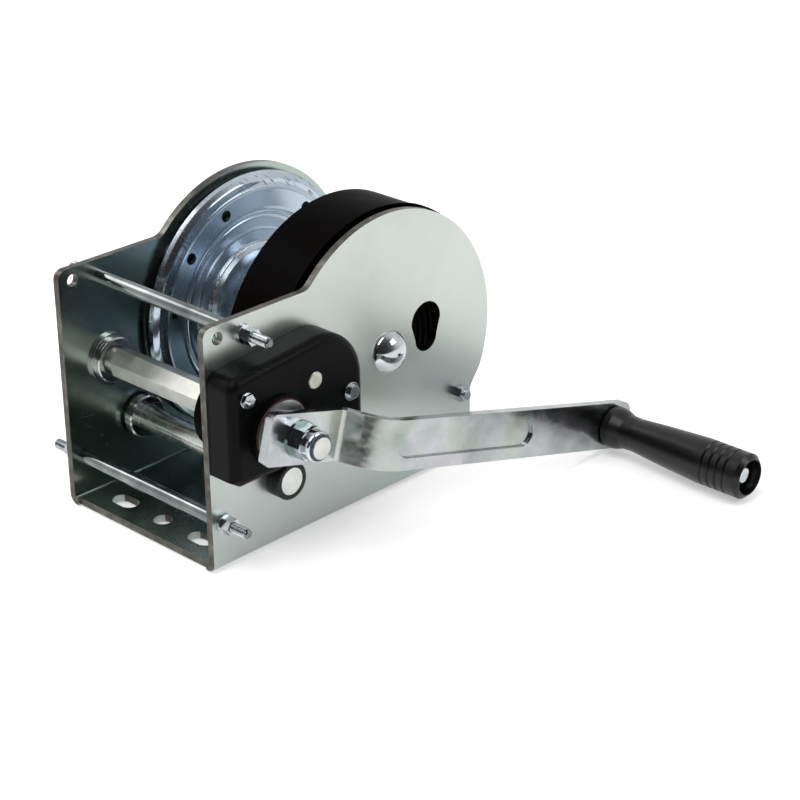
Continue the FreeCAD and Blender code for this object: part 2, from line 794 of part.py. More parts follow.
turned("layshaft_bush_right", [
    (inner_face - 2, small_seat + running_gap), (end_ring_face, small_seat + running_gap),
    (end_ring_face, end_ring_radius - 0.8), (end_ring_face - 0.8, end_ring_radius),
    (half_width + 6, end_ring_radius), (half_width + 5.5, end_ring_radius - 0.7),
    (half_width + 5, end_ring_radius), (half_width, end_ring_radius),
    (half_width, bush_in_plate), (inner_face - 2, bush_in_plate)], lay_y, lay_z)

# ---- crank shaft: a hexagon bar turned down at both ends --------------------
journal = crank_journal / 2
crank_in_plate = journal + 3
crank_shaft = new_body("crank_shaft")
hex_left = crank_hexagon_left
hex_right = crank_gear_left - 3
hex_sketch = new_sketch(crank_shaft, "crank_hexagon_section", "YZ_Plane", hex_left)
hexagon(hex_sketch, crank_hexagon)
pad(crank_shaft, hex_sketch, hex_right - hex_left, "crank_hexagon_bar")
journal_sketch = new_sketch(crank_shaft, "crank_journals", "YZ_Plane", -half_width + 0.5)
circle(journal_sketch, 0, 0, journal)
arm_back = arm_face - arm_thickness
pad(crank_shaft, journal_sketch, arm_back + half_width - 0.5, "crank_journal_bar")
thread_sketch = new_sketch(crank_shaft, "crank_thread_section", "YZ_Plane", arm_back - 1)
circle(thread_sketch, 0, 0, crank_thread / 2)
pad(crank_shaft, thread_sketch, crank_stud_end - arm_back + 1, "crank_thread_bar")
place(crank_shaft, crank_y, crank_z)
crank_shaft.setExpression("Placement.Rotation.Angle", arm_droop.text)
crank_shaft.Placement = FreeCAD.Placement(
    FreeCAD.Vector(0, crank_y.value, crank_z.value),
    FreeCAD.Rotation(FreeCAD.Vector(1, 0, 0), arm_droop.value))
turned("crank_bush_left", [
    (-half_width, journal + running_gap), (crank_bush_face, journal + running_gap),
    (crank_bush_face, crank_bush_radius - 0.8),
    (crank_bush_face - 0.8, crank_bush_radius),
    (crank_bush_face - 3.5, crank_bush_radius),
    (crank_bush_face - 3.5, crank_bush_flange), (-inner_face, crank_bush_flange),
    (-inner_face, crank_in_plate), (-half_width, crank_in_plate)], crank_y, crank_z)
tube("crank_bush_right", inner_face - 2, half_width + housing_depth - 1,
     journal + running_gap, crank_in_plate, crank_y, crank_z)
spur_gear("crank_pinion", crank_module, crank_pinion_teeth, crank_gear_left,
          crank_gear_width + 1, journal, crank_y, crank_z,
          lay_to_crank + 180 + 180.0 / crank_pinion_teeth.value)
housing_face = half_width + housing_depth
collar_face = housing_face + collar_depth
turned("brake_disc", [
    (housing_face + 0.3, journal), (arm_back, journal), (arm_back, brake_hub_radius),
    (brake_disc_face, brake_hub_radius), (brake_disc_face, brake_disc_radius),
    (housing_face + 0.3, brake_disc_radius)], crank_y, crank_z)

# ---- crank arm: a flat bar set outward by two bends -------------------------
crank_arm = new_body("crank_arm")
bend_tangent = (root(arm_bend_run * arm_bend_run + arm_offset * arm_offset)
                - arm_bend_run) / arm_offset * arm_thickness
bend_end = arm_bend_start + arm_bend_run
arm_outer = arm_face + arm_offset
arm_tip = arm_reach + arm_end_margin
arm_sketch = new_sketch(crank_arm, "crank_arm_side", "XY_Plane", 0)
outline(arm_sketch, [
    (arm_face, -arm_tail), (arm_face, arm_bend_start),
    (arm_outer, bend_end), (arm_outer, arm_tip),
    (arm_outer - arm_thickness, arm_tip),
    (arm_outer - arm_thickness, bend_end + bend_tangent),
    (arm_back, arm_bend_start + bend_tangent), (arm_back, -arm_tail)])
arm_pad = pad(crank_arm, arm_sketch, arm_width, "crank_arm_pad")
arm_pad.Midplane = True
doc.recompute()


def arm_corner(edge, spot_y):
    """A corner edge of the flat bar, square to its face."""
    first = edge.Vertexes[0].Point
    last = edge.Vertexes[-1].Point
    if abs(first.x - last.x) < 1 or abs(first.y - last.y) > 1e-4:
        return False
    return abs(first.y - as_length(spot_y).value) < 0.01 and abs(first.z - last.z) < 1e-4


def bend_line(edge, spot_x, spot_y):
    """An edge across the flat bar, where a bend is."""
    first = edge.Vertexes[0].Point
    last = edge.Vertexes[-1].Point
    if abs(first.z - last.z) < 1:
        return False
    return math.hypot(first.x - spot_x.value, first.y - spot_y.value) < 0.01


def bend(feature, spot_x, spot_y, radius, label):
    """Round one bend line of the flat bar."""
    return round_off(crank_arm, feature, edges_where(
        feature, lambda e: bend_line(e, spot_x, spot_y)), radius, label)


bar = bend(arm_pad, arm_face, arm_bend_start, arm_near_bend, "near_bend_front")
bar = bend(bar, arm_back, arm_bend_start + bend_tangent, arm_near_bend + arm_thickness,
           "near_bend_back")
bar = bend(bar, arm_outer, bend_end, arm_far_bend + arm_thickness, "far_bend_front")
bar = bend(bar, arm_outer - arm_thickness, bend_end + bend_tangent, arm_far_bend,
           "far_bend_back")
tip_round = round_off(crank_arm, bar, edges_where(
    bar, lambda e: arm_corner(e, arm_tip)), arm_tip_rounding, "crank_arm_tip")
tail_round = round_off(crank_arm, tip_round, edges_where(
    tip_round, lambda e: arm_corner(e, -arm_tail)), arm_tail_rounding, "crank_arm_tail")
arm_holes = new_sketch(crank_arm, "crank_arm_holes", "YZ_Plane", arm_back - 1)
circle(arm_holes, 0, 0, crank_thread / 2)
circle(arm_holes, arm_reach, 0, grip_bolt_radius)
cut(crank_arm, arm_holes, arm_offset + arm_thickness + 2, "crank_arm_holes_cut")
bead = new_sketch(crank_arm, "crank_arm_bead", "YZ_Plane", arm_outer - bead_depth)
slot(bead, (bead_start + bead_end) / 2, 0, bead_end - bead_start, bead_width)
cut(crank_arm, bead, bead_depth + 1, "crank_arm_bead_cut")
crank_arm.Placement = FreeCAD.Placement(
    FreeCAD.Vector(0, crank_y.value, crank_z.value),
    FreeCAD.Rotation(FreeCAD.Vector(1, 0, 0), arm_droop.value))
place(crank_arm, crank_y, crank_z)
crank_arm.setExpression("Placement.Rotation.Angle", arm_droop.text)
nut_seat = arm_face + crank_washer_height
tube("crank_washer", arm_face, nut_seat, crank_thread / 2, crank_nut_flats * 0.62,
     crank_y, crank_z)
crank_nut = hex_nut("crank_nut", nut_seat, crank_nut_height, crank_nut_flats,
                    crank_thread / 2, crank_y, crank_z)
lock_ring = round_pad(crank_nut, "crank_nut_lock_ring", nut_seat + crank_nut_height,
                      lock_ring_radius, crank_thread / 2,
                      lock_ring_face - nut_seat - crank_nut_height)
round_off(crank_nut, lock_ring, edges_where(
    lock_ring, lambda e: ring_at(e, lock_ring_face, lock_ring_radius)), 2,
    "crank_nut_lock_rounding")

# ---- grip on its bolt -------------------------------------------------------
grip_y = crank_y + arm_reach * cosine(arm_droop)
grip_z = crank_z + arm_reach * sine(arm_droop)
grip_start = arm_outer + grip_gap
grip_end = grip_start + grip_length
recess_floor = grip_end - 10
bolt_head = recess_floor + 0.4
turned("grip_bolt", [
    (arm_outer - arm_thickness - 4, 0), (arm_outer - arm_thickness - 4, grip_bolt_radius + 2),
    (arm_outer - arm_thickness - 2.5, grip_bolt_radius + 3.5),
    (arm_outer - arm_thickness, grip_bolt_radius + 3.5),
    (arm_outer - arm_thickness, grip_bolt_radius), (bolt_head, grip_bolt_radius),
    (bolt_head, grip_head_radius), (bolt_head + 3, grip_head_radius),
    (bolt_head + 5, grip_head_radius - 2.5), (bolt_head + 5, 0)], grip_y, grip_z)
grip_bore = grip_bolt_radius + running_gap
recess_radius = grip_head_radius + 3
turned("grip", [
    (grip_start, grip_bore), (recess_floor, grip_bore), (recess_floor, recess_radius),
    (grip_end, recess_radius + 1.5), (grip_end, grip_radius - 3),
    (grip_end - 3, grip_radius), (grip_end - 11, grip_radius),
    (grip_end - 12, grip_radius - 1), (grip_end - 13, grip_radius),
    (grip_end - 17, grip_radius), (grip_end - 18, grip_radius - 1),
    (grip_end - 19, grip_radius), (grip_end - 23, grip_radius),
    (grip_end - 24, grip_radius - 1), (grip_end - 25, grip_radius),
    (grip_end - 29, grip_radius), (grip_end - 30, grip_radius - 1),
    (grip_end - 31, grip_radius), (grip_end - 38, grip_radius),
    (grip_start + 45, grip_radius - 2), (grip_start + 22, grip_neck_radius),
    (grip_start + 14, grip_neck_radius + 0.3), (grip_start + 9, grip_collar_radius - 0.7),
    (grip_start + 6, grip_collar_radius), (grip_start + 1, grip_collar_radius),
    (grip_start, grip_collar_radius - 1)], grip_y, grip_z)

# ---- gear guard: a pan over the big gear and a cup over the crank pinion ----
guard = turned("gear_guard", [
    (guard_left, guard_radius - guard_wall), (guard_right - guard_wall, guard_radius - guard_wall),
    (guard_right - guard_wall, hub_radius + 5), (guard_right, hub_radius + 5),
    (guard_right, guard_radius + 1), (guard_right - 2, guard_radius + 1),
    (guard_right - 2, guard_radius), (guard_left, guard_radius)], drum_y, drum_z)
cup_y = crank_y - drum_y
cup_z = crank_z - drum_z
cup_outer = crank_module * (crank_pinion_teeth + 2) / 2 + gear_clearance + guard_wall
boss = new_sketch(guard, "guard_bolt_boss", "YZ_Plane", guard_right - guard_wall)
circle(boss, guard_bolt_back, -guard_bolt_down, guard_boss_radius)
pad(guard, boss, inner_face - guard_right + guard_wall, "guard_bolt_boss_pad")
boss_bore = new_sketch(guard, "guard_boss_bore", "YZ_Plane", guard_left)
circle(boss_bore, guard_bolt_back, -guard_bolt_down, thread_bore)
cut(guard, boss_bore, half_width, "guard_boss_bore_cut")
cup_sketch = new_sketch(guard, "pinion_cup", "YZ_Plane", pinion_guard_left)
circle(cup_sketch, cup_y, cup_z, cup_outer)
pad(guard, cup_sketch, inner_face - pinion_guard_left, "pinion_cup_pad")
cup_hollow = new_sketch(guard, "pinion_cup_hollow", "YZ_Plane",
                        pinion_guard_left + guard_wall)
circle(cup_hollow, cup_y, cup_z, cup_outer - guard_wall)
cut(guard, cup_hollow, inner_face - pinion_guard_left, "pinion_cup_hollow_cut")
cup_bore = new_sketch(guard, "pinion_cup_bore", "YZ_Plane", pinion_guard_left - 1)
circle(cup_bore, cup_y, cup_z, crank_hexagon / math.sqrt(3) + 3)
cut(guard, cup_bore, guard_wall + 2, "pinion_cup_bore_cut")
far_y = lay_y - drum_y
far_z = lay_z - drum_z
gear_bite = new_sketch(guard, "middle_gear_bite", "YZ_Plane",
                       pinion_guard_left + guard_wall)
circle(gear_bite, far_y, far_z,
       crank_module * (layshaft_gear_teeth + 2) / 2 + gear_clearance)
cut(guard, gear_bite, half_width, "middle_gear_bite_cut")
pinion_bite = new_sketch(guard, "small_gear_bite", "YZ_Plane", guard_left - 1)
circle(pinion_bite, far_y, far_z,
       drum_module * (layshaft_pinion_teeth + 2) / 2 + gear_clearance)
cut(guard, pinion_bite, drum_gear_left + drum_gear_width + gear_clearance + 1
    - guard_left + 1, "small_gear_bite_cut")
floor_cut = new_sketch(guard, "base_relief", "YZ_Plane", 0)
outline(floor_cut, [
    (-guard_radius, -drum_z - 20), (guard_radius, -drum_z - 20),
    (guard_radius, frame_sheet - drum_z), (-guard_radius, frame_sheet - drum_z)])
cut(guard, floor_cut, frame_width, "base_relief_cut")

guard_bolt = new_body("guard_bolt")
bolt_head_sketch = new_sketch(guard_bolt, "guard_bolt_head", "YZ_Plane",
                              guard_right - guard_wall - guard_bolt_head)
hexagon(bolt_head_sketch, tie_nut_flats)
pad(guard_bolt, bolt_head_sketch, guard_bolt_head, "guard_bolt_head_pad")
bolt_shank = new_sketch(guard_bolt, "guard_bolt_shank", "YZ_Plane",
                        guard_right - guard_wall - 1)
circle(bolt_shank, 0, 0, thread_bore)
pad(guard_bolt, bolt_shank, half_width + guard_bolt_reach - guard_right + guard_wall + 1,
    "guard_bolt_shank_pad")
place(guard_bolt, bolt_y, bolt_z)
hex_nut("guard_nut", half_width, tie_nut_height - washer_height * 2, tie_nut_flats,
        thread_bore, bolt_y, bolt_z)

# ---- outer housing over the brake and its pawl ------------------------------
housing = new_body("brake_housing")
lobe_y = pawl_y + housing_lobe_back
lobe_z = pawl_z - housing_lobe_down
housing_front = front_edge + housing_front_gap
housing_low = crank_z - housing_foot - 2.5
housing_back = lobe_y + housing_lobe_radius


def housing_outline(sketch, inset):
    """The housing's side view, drawn in by an inset."""
    radius = housing_lobe_radius - inset
    left = housing_front + inset
    low = housing_low + inset
    top_y = lobe_y + radius * cosine(housing_lean)
    top_z = lobe_z + radius * sine(housing_lean)
    outline(sketch, [
        (left, low + 4.5), (left + 7, low), (crank_y + 2, low),
        (lobe_y + radius, low + 10), (lobe_y + radius, lobe_z, lobe_y, lobe_z, 1),
        (top_y, top_z), (left, top_z - housing_fall + inset * 0.2)])


outer_sketch = new_sketch(housing, "housing_outline", "YZ_Plane", half_width)
housing_outline(outer_sketch, as_length(0))
housing_pad = pad(housing, outer_sketch, housing_depth, "housing_pad")


def upright(edge, spot_y, spot_z):
    """An edge of the housing that stands out from the plate."""
    return along_x(edge, as_length(spot_y), as_length(spot_z))


top_front_z = lobe_z + housing_lobe_radius * sine(housing_lean) - housing_fall
housing_top = round_off(housing, housing_pad, edges_where(
    housing_pad, lambda e: upright(e, housing_front, top_front_z)), 9, "housing_top_corner")
housing_rear = round_off(housing, housing_top, edges_where(
    housing_top, lambda e: upright(e, housing_back, housing_low + 10)), 8,
    "housing_rear_corner")
inner_sketch = new_sketch(housing, "housing_hollow", "YZ_Plane", half_width - 1)
housing_outline(inner_sketch, housing_edge / 2)
face_edges = edges_where(housing_rear, lambda e: all(
    abs(v.Point.x - housing_face.value) < 0.01 for v in e.Vertexes))
housing_soft = round_off(housing, housing_rear, face_edges, housing_edge, "housing_face_edge")
cut(housing, inner_sketch, housing_depth - 4 + 1, "housing_hollow_cut")
housing_bores = new_sketch(housing, "housing_bores", "YZ_Plane", half_width - 1)
circle(housing_bores, crank_y, crank_z, crank_in_plate + 0.5)
circle(housing_bores, pawl_y, pawl_z, pawl_pin_diameter / 2 + 0.3)
cut(housing, housing_bores, housing_depth + 2, "housing_bores_cut")
tube("housing_collar", housing_face, collar_face, brake_disc_radius + 0.7,
     collar_radius, crank_y, crank_z)
turned("pawl_pin", [
    (half_width, 0), (half_width, pawl_pin_diameter / 2),
    (housing_face - 0.5, pawl_pin_diameter / 2),
    (housing_face + 0.2, pawl_pin_diameter / 2 - 0.7), (housing_face + 0.2, 0)],
    pawl_y, pawl_z)


def housing_screw(label, spot_y, spot_z, flange_radius_here):
    """A flanged hexagon screw on the housing face."""
    body = new_body(label)
    flange = new_sketch(body, label + "_flange", "YZ_Plane", housing_face)
    circle(flange, 0, 0, flange_radius_here)
    pad(body, flange, 1.3, label + "_flange_pad")
    head = new_sketch(body, label + "_head", "YZ_Plane", housing_face)
    hexagon(head, screw_flats)
    pad(body, head, screw_height, label + "_head_pad")
    place(body, spot_y, spot_z)
    return body


housing_screw("housing_screw_front", housing_front + 11, crank_z + 29, screw_flats * 0.6)
housing_screw("housing_screw_rear", housing_back - 12.4, crank_z + 5.6, screw_flats * 0.75)

# ---- check and write --------------------------------------------------------
doc.recompute()
for item in doc.Objects:
    if "Invalid" in item.State or "Error" in item.State:
        raise RuntimeError("failed: " + item.Name)
for body in bodies:
    if body.Shape.isNull() or not body.Shape.isValid():
        raise RuntimeError("bad shape: " + body.Label)
    if len(body.Shape.Solids) != 1:
        raise RuntimeError("%s has %d solids" % (body.Label, len(body.Shape.Solids)))
for body in bodies:
    body.Shape.exportStep("parts/%s.step" % body.Label)
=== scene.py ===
"""Looks for the hand winch.

The finishes of its plated, turned and moulded parts, the small parts that its solids
leave out, and the studio that it stands in.
"""

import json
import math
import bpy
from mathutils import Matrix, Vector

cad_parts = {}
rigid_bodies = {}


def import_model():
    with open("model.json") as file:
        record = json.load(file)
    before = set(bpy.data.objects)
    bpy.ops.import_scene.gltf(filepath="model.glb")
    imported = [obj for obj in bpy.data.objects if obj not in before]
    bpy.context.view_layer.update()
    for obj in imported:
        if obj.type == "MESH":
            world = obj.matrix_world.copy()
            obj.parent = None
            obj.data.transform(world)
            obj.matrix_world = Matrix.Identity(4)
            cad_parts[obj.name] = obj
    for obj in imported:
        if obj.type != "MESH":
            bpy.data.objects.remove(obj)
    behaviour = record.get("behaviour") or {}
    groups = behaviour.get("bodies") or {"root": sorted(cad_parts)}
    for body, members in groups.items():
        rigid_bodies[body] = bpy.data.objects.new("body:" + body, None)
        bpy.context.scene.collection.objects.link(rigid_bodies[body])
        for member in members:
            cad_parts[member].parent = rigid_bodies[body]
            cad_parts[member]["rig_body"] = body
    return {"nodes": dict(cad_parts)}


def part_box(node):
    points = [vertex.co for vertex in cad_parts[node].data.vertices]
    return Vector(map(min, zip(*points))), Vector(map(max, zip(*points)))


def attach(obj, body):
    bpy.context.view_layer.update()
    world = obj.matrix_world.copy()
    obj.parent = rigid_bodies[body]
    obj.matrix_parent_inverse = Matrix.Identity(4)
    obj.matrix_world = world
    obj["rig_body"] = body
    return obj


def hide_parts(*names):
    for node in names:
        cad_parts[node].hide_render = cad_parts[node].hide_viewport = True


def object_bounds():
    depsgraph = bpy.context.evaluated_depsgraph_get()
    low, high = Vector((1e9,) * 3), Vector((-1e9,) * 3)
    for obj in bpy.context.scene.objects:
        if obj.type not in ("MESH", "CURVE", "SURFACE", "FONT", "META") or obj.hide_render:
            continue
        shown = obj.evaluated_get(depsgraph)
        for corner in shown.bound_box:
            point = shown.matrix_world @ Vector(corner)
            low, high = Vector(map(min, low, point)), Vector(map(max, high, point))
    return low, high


bl_info = {
    "name": "Hand winch finishes",
    "version": (1, 0, 0),
    "blender": (4, 5, 0),
    "location": "3D View > Sidebar > Winch",
    "description": "Finishes, small parts and a plain studio for a geared hand winch",
    "category": "Object",
}

import bpy
from mathutils import Quaternion, Vector

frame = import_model()

MM = 0.001
NODES = frame["nodes"]


def middle(node):
    """The middle of a node's box, which for a turned part is on its axis."""
    low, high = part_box(node)
    return (low + high) / 2


DRUM_AXIS = middle("drum_core")
CRANK_AXIS = middle("brake_disc")
HOUSING_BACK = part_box("brake_housing")[0].x
CAD_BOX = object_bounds()
# A quarter turn about Z, which lays scratches along X.
ALONG_X = (0, 0, 1.5708)
# How many times as long as wide a handling scratch is.
SCRATCH_STRETCH = 55


def linear(code):
    """The linear red, green, blue and alpha of an sRGB hex code."""
    values = [int(code[i:i + 2], 16) / 255 for i in (1, 3, 5)]
    return [v / 12.92 if v <= 0.04045 else ((v + 0.055) / 1.055) ** 2.4 for v in values] + [1.0]


def add(tree, kind, links=None, stops=None, **settings):
    """Adds a node with its settings, its ramp stops and its inputs.

    Each input is a value, or the node or socket that feeds it.
    """
    node = tree.nodes.new(kind)
    for name, value in settings.items():
        setattr(node, name, value)
    if stops:
        ramp = node.color_ramp.elements
        while len(ramp) < len(stops):
            ramp.new(1.0)
        for element, (place, colour) in zip(ramp, stops):
            element.position = place
            element.color = linear(colour) if isinstance(colour, str) else [colour] * 3 + [1.0]
    for key, value in (links or {}).items():
        if isinstance(value, bpy.types.Node):
            value = value.outputs[0]
        if isinstance(value, bpy.types.NodeSocket):
            tree.links.new(value, node.inputs[key])
        else:
            node.inputs[key].default_value = value
    return node


# ---- sizes and colours that can be changed ----------------------------------

class WinchSmallParts(bpy.types.PropertyGroup):
    """Sizes of the small parts that are added to the solids."""
    stud_pitch: bpy.props.FloatProperty(
        name="Stud pitch", description="Distance between the crests on the threaded ends",
        default=1.1 * MM, min=0.5 * MM, max=2 * MM, unit="LENGTH")
    stud_radius: bpy.props.FloatProperty(
        name="Stud radius", description="Radius of the threaded ends, under the crests",
        default=2.95 * MM, min=2 * MM, max=5 * MM, unit="LENGTH")
    weld_radius: bpy.props.FloatProperty(
        name="Weld radius", description="Radius of the weld run round the drum's core",
        default=41.3 * MM, min=38 * MM, max=50 * MM, unit="LENGTH")
    weld_size: bpy.props.FloatProperty(
        name="Weld size", description="Half the width of the weld run",
        default=2.3 * MM, min=1 * MM, max=4 * MM, unit="LENGTH")
    lining_radius: bpy.props.FloatProperty(
        name="Lining radius", description="Outer radius of the brake lining where its edge shows",
        default=20.95 * MM, min=15 * MM, max=25 * MM, unit="LENGTH")


class WinchColours(bpy.types.PropertyGroup):
    """Main colours of the finishes."""
    plate: bpy.props.FloatVectorProperty(
        name="Plate zinc", description="Zinc on the frame's plates", subtype="COLOR",
        size=4, min=0, max=1, default=linear("#C6CBC6"))
    drum: bpy.props.FloatVectorProperty(
        name="Drum zinc", description="Bright bluish zinc on the drum", subtype="COLOR",
        size=4, min=0, max=1, default=linear("#C2CAD2"))
    guard: bpy.props.FloatVectorProperty(
        name="Guard paint", description="Black paint on the gear guard", subtype="COLOR",
        size=4, min=0, max=1, default=linear("#050403"))
    housing: bpy.props.FloatVectorProperty(
        name="Housing plastic", description="Moulded plastic of the brake housing", subtype="COLOR",
        size=4, min=0, max=1, default=linear("#08090A"))
    grip: bpy.props.FloatVectorProperty(
        name="Grip plastic", description="Moulded plastic of the hand grip", subtype="COLOR",
        size=4, min=0, max=1, default=linear("#080809"))
    lining: bpy.props.FloatVectorProperty(
        name="Brake lining", description="Pressed friction material of the brake", subtype="COLOR",
        size=4, min=0, max=1, default=linear("#4E2A20"))


class WinchStage(bpy.types.PropertyGroup):
    """Camera and light."""
    camera_place: bpy.props.FloatVectorProperty(
        name="Camera place", description="Where the camera stands", subtype="TRANSLATION",
        size=3, default=(0.9877, -0.8923, 0.6738))
    azimuth: bpy.props.FloatProperty(
        name="Azimuth", description="Camera's turn round the winch, 0 looks along +Y",
        default=math.radians(44.243), subtype="ANGLE")
    elevation: bpy.props.FloatProperty(
        name="Elevation", description="Camera's height above the horizon",
        default=math.radians(24.966), subtype="ANGLE")
    roll: bpy.props.FloatProperty(
        name="Roll", description="Camera's tilt about its own line of sight",
        default=math.radians(-0.626), subtype="ANGLE")
    lens: bpy.props.FloatProperty(
        name="Lens", description="Focal length in millimetres on a 36 mm sensor",
        default=99.43, min=20, max=300)
    room_light: bpy.props.FloatProperty(
        name="Room light", description="Level of the even light from the white room",
        default=0.5, min=0, max=2)
    lamp_power: bpy.props.FloatProperty(
        name="Lamp power", description="Power of the overhead soft box, which the others follow",
        default=26, min=0, max=200, subtype="POWER")


# ---- finishes ---------------------------------------------------------------

def start_material(name):
    """A new node material with its shader, output and object coordinates."""
    material = bpy.data.materials.new(name)
    material.use_nodes = True
    tree = material.node_tree
    tree.nodes.clear()
    output = add(tree, "ShaderNodeOutputMaterial")
    shader = add(tree, "ShaderNodeBsdfPrincipled")
    tree.links.new(shader.outputs[0], output.inputs[0])
    place = add(tree, "ShaderNodeTexCoord").outputs["Object"]
    return material, tree, shader, place


def source_of(shader, name):
    """The socket that feeds one of the shader's inputs so far."""
    return shader.inputs[name].links[0].from_socket


def feed(shader, name, source):
    """Links a node's first output, or a socket, to one of the shader's inputs."""
    socket = source.outputs[0] if isinstance(source, bpy.types.Node) else source
    shader.id_data.links.new(socket, shader.inputs[name])


def scratches(tree, place, width_mm, length_mm, turn, share):
    """Fine straight scratches, 1 in the scratch and 0 off it. turn is about X, Y and Z."""
    turned = add(tree, "ShaderNodeMapping", {"Vector": place, "Rotation": turn})
    drawn = add(tree, "ShaderNodeMapping", {"Vector": turned, "Scale": (1, width_mm / length_mm, 1)})
    noise = add(tree, "ShaderNodeTexNoise", {
        "Vector": drawn, "Scale": 1000 / width_mm / 2, "Detail": 1.0, "Roughness": 0.4})
    edge = 0.5 + share
    return add(tree, "ShaderNodeMapRange", {
        "Value": noise, "From Min": edge, "From Max": edge + 0.05, "To Min": 0.0, "To Max": 1.0})


def plated(name, tones, gloss, cloud_mm, scratch_mm, turns, share=0.16, edge_mm=0.0, grain_mm=0.5,
           grain=0.04, marks=0.10):
    """A plated or bare metal surface.

    Soft clouds of tone and gloss, a fine crystal grain and handling scratches.
    edge_mm rounds the edges of small parts where light falls on them.
    """
    material, tree, shader, place = start_material(name)
    cloud = add(tree, "ShaderNodeTexNoise", {
        "Vector": place, "Scale": 1000 / cloud_mm, "Detail": 4.0, "Roughness": 0.55, "Distortion": 0.4})
    tone = add(tree, "ShaderNodeValToRGB", {"Fac": cloud}, stops=[
        (0.30, tones[0]), (0.52, tones[1]), (0.72, tones[2])])
    crystals = add(tree, "ShaderNodeTexNoise", {
        "Vector": place, "Scale": 1000 / grain_mm, "Detail": 3.0, "Roughness": 0.6})
    lines = None
    for turn in turns:
        one = scratches(tree, place, scratch_mm, scratch_mm * SCRATCH_STRETCH, turn, share)
        lines = one if lines is None else add(
            tree, "ShaderNodeMath", {0: lines, 1: one}, operation="MAXIMUM")
    even = add(tree, "ShaderNodeMapRange", {
        "Value": cloud, "From Min": 0.3, "From Max": 0.75, "To Min": gloss[0], "To Max": gloss[1]})
    speckled = add(tree, "ShaderNodeMath", {0: crystals, 1: grain, 2: even}, operation="MULTIPLY_ADD")
    rough = add(tree, "ShaderNodeMath", {0: lines, 1: marks, 2: speckled}, operation="MULTIPLY_ADD")
    relief = add(tree, "ShaderNodeMath", {0: lines, 1: -0.5, 2: crystals}, operation="MULTIPLY_ADD")
    bump = add(tree, "ShaderNodeBump", {"Height": relief, "Strength": 0.06, "Distance": 0.05 * MM})
    if edge_mm:
        edge = add(tree, "ShaderNodeBevel", {"Radius": edge_mm * MM}, samples=4)
        tree.links.new(edge.outputs[0], bump.inputs["Normal"])
    seen = add(tree, "ShaderNodeMath", {0: lines, 1: marks * 3}, operation="MULTIPLY")
    pale = add(tree, "ShaderNodeMix", {0: seen, 6: tone, 7: linear("#E4E6E6")},
               data_type="RGBA")
    feed(shader, "Base Color", pale.outputs[2])
    feed(shader, "Roughness", rough)
    feed(shader, "Normal", bump)
    shader.inputs["Metallic"].default_value = 1.0
    return material, tree, shader, place


def radius_about(tree, place, axis):
    """Distance from an axis along X, in metres."""
    moved = add(tree, "ShaderNodeMapping", {"Vector": place, "Location": (0, -axis[1], -axis[2])})
    flat = add(tree, "ShaderNodeMapping", {"Vector": moved, "Scale": (0, 1, 1)})
    return add(tree, "ShaderNodeVectorMath", {0: flat}, operation="LENGTH").outputs["Value"]


def turning_rings(tree, radius, spacing_mm):
    """Marks of a lathe tool or a press ring, as noise along the radius only."""
    return add(tree, "ShaderNodeTexNoise", {"W": radius, "Scale": 1000 / spacing_mm, "Detail": 2.0},
               noise_dimensions="1D")


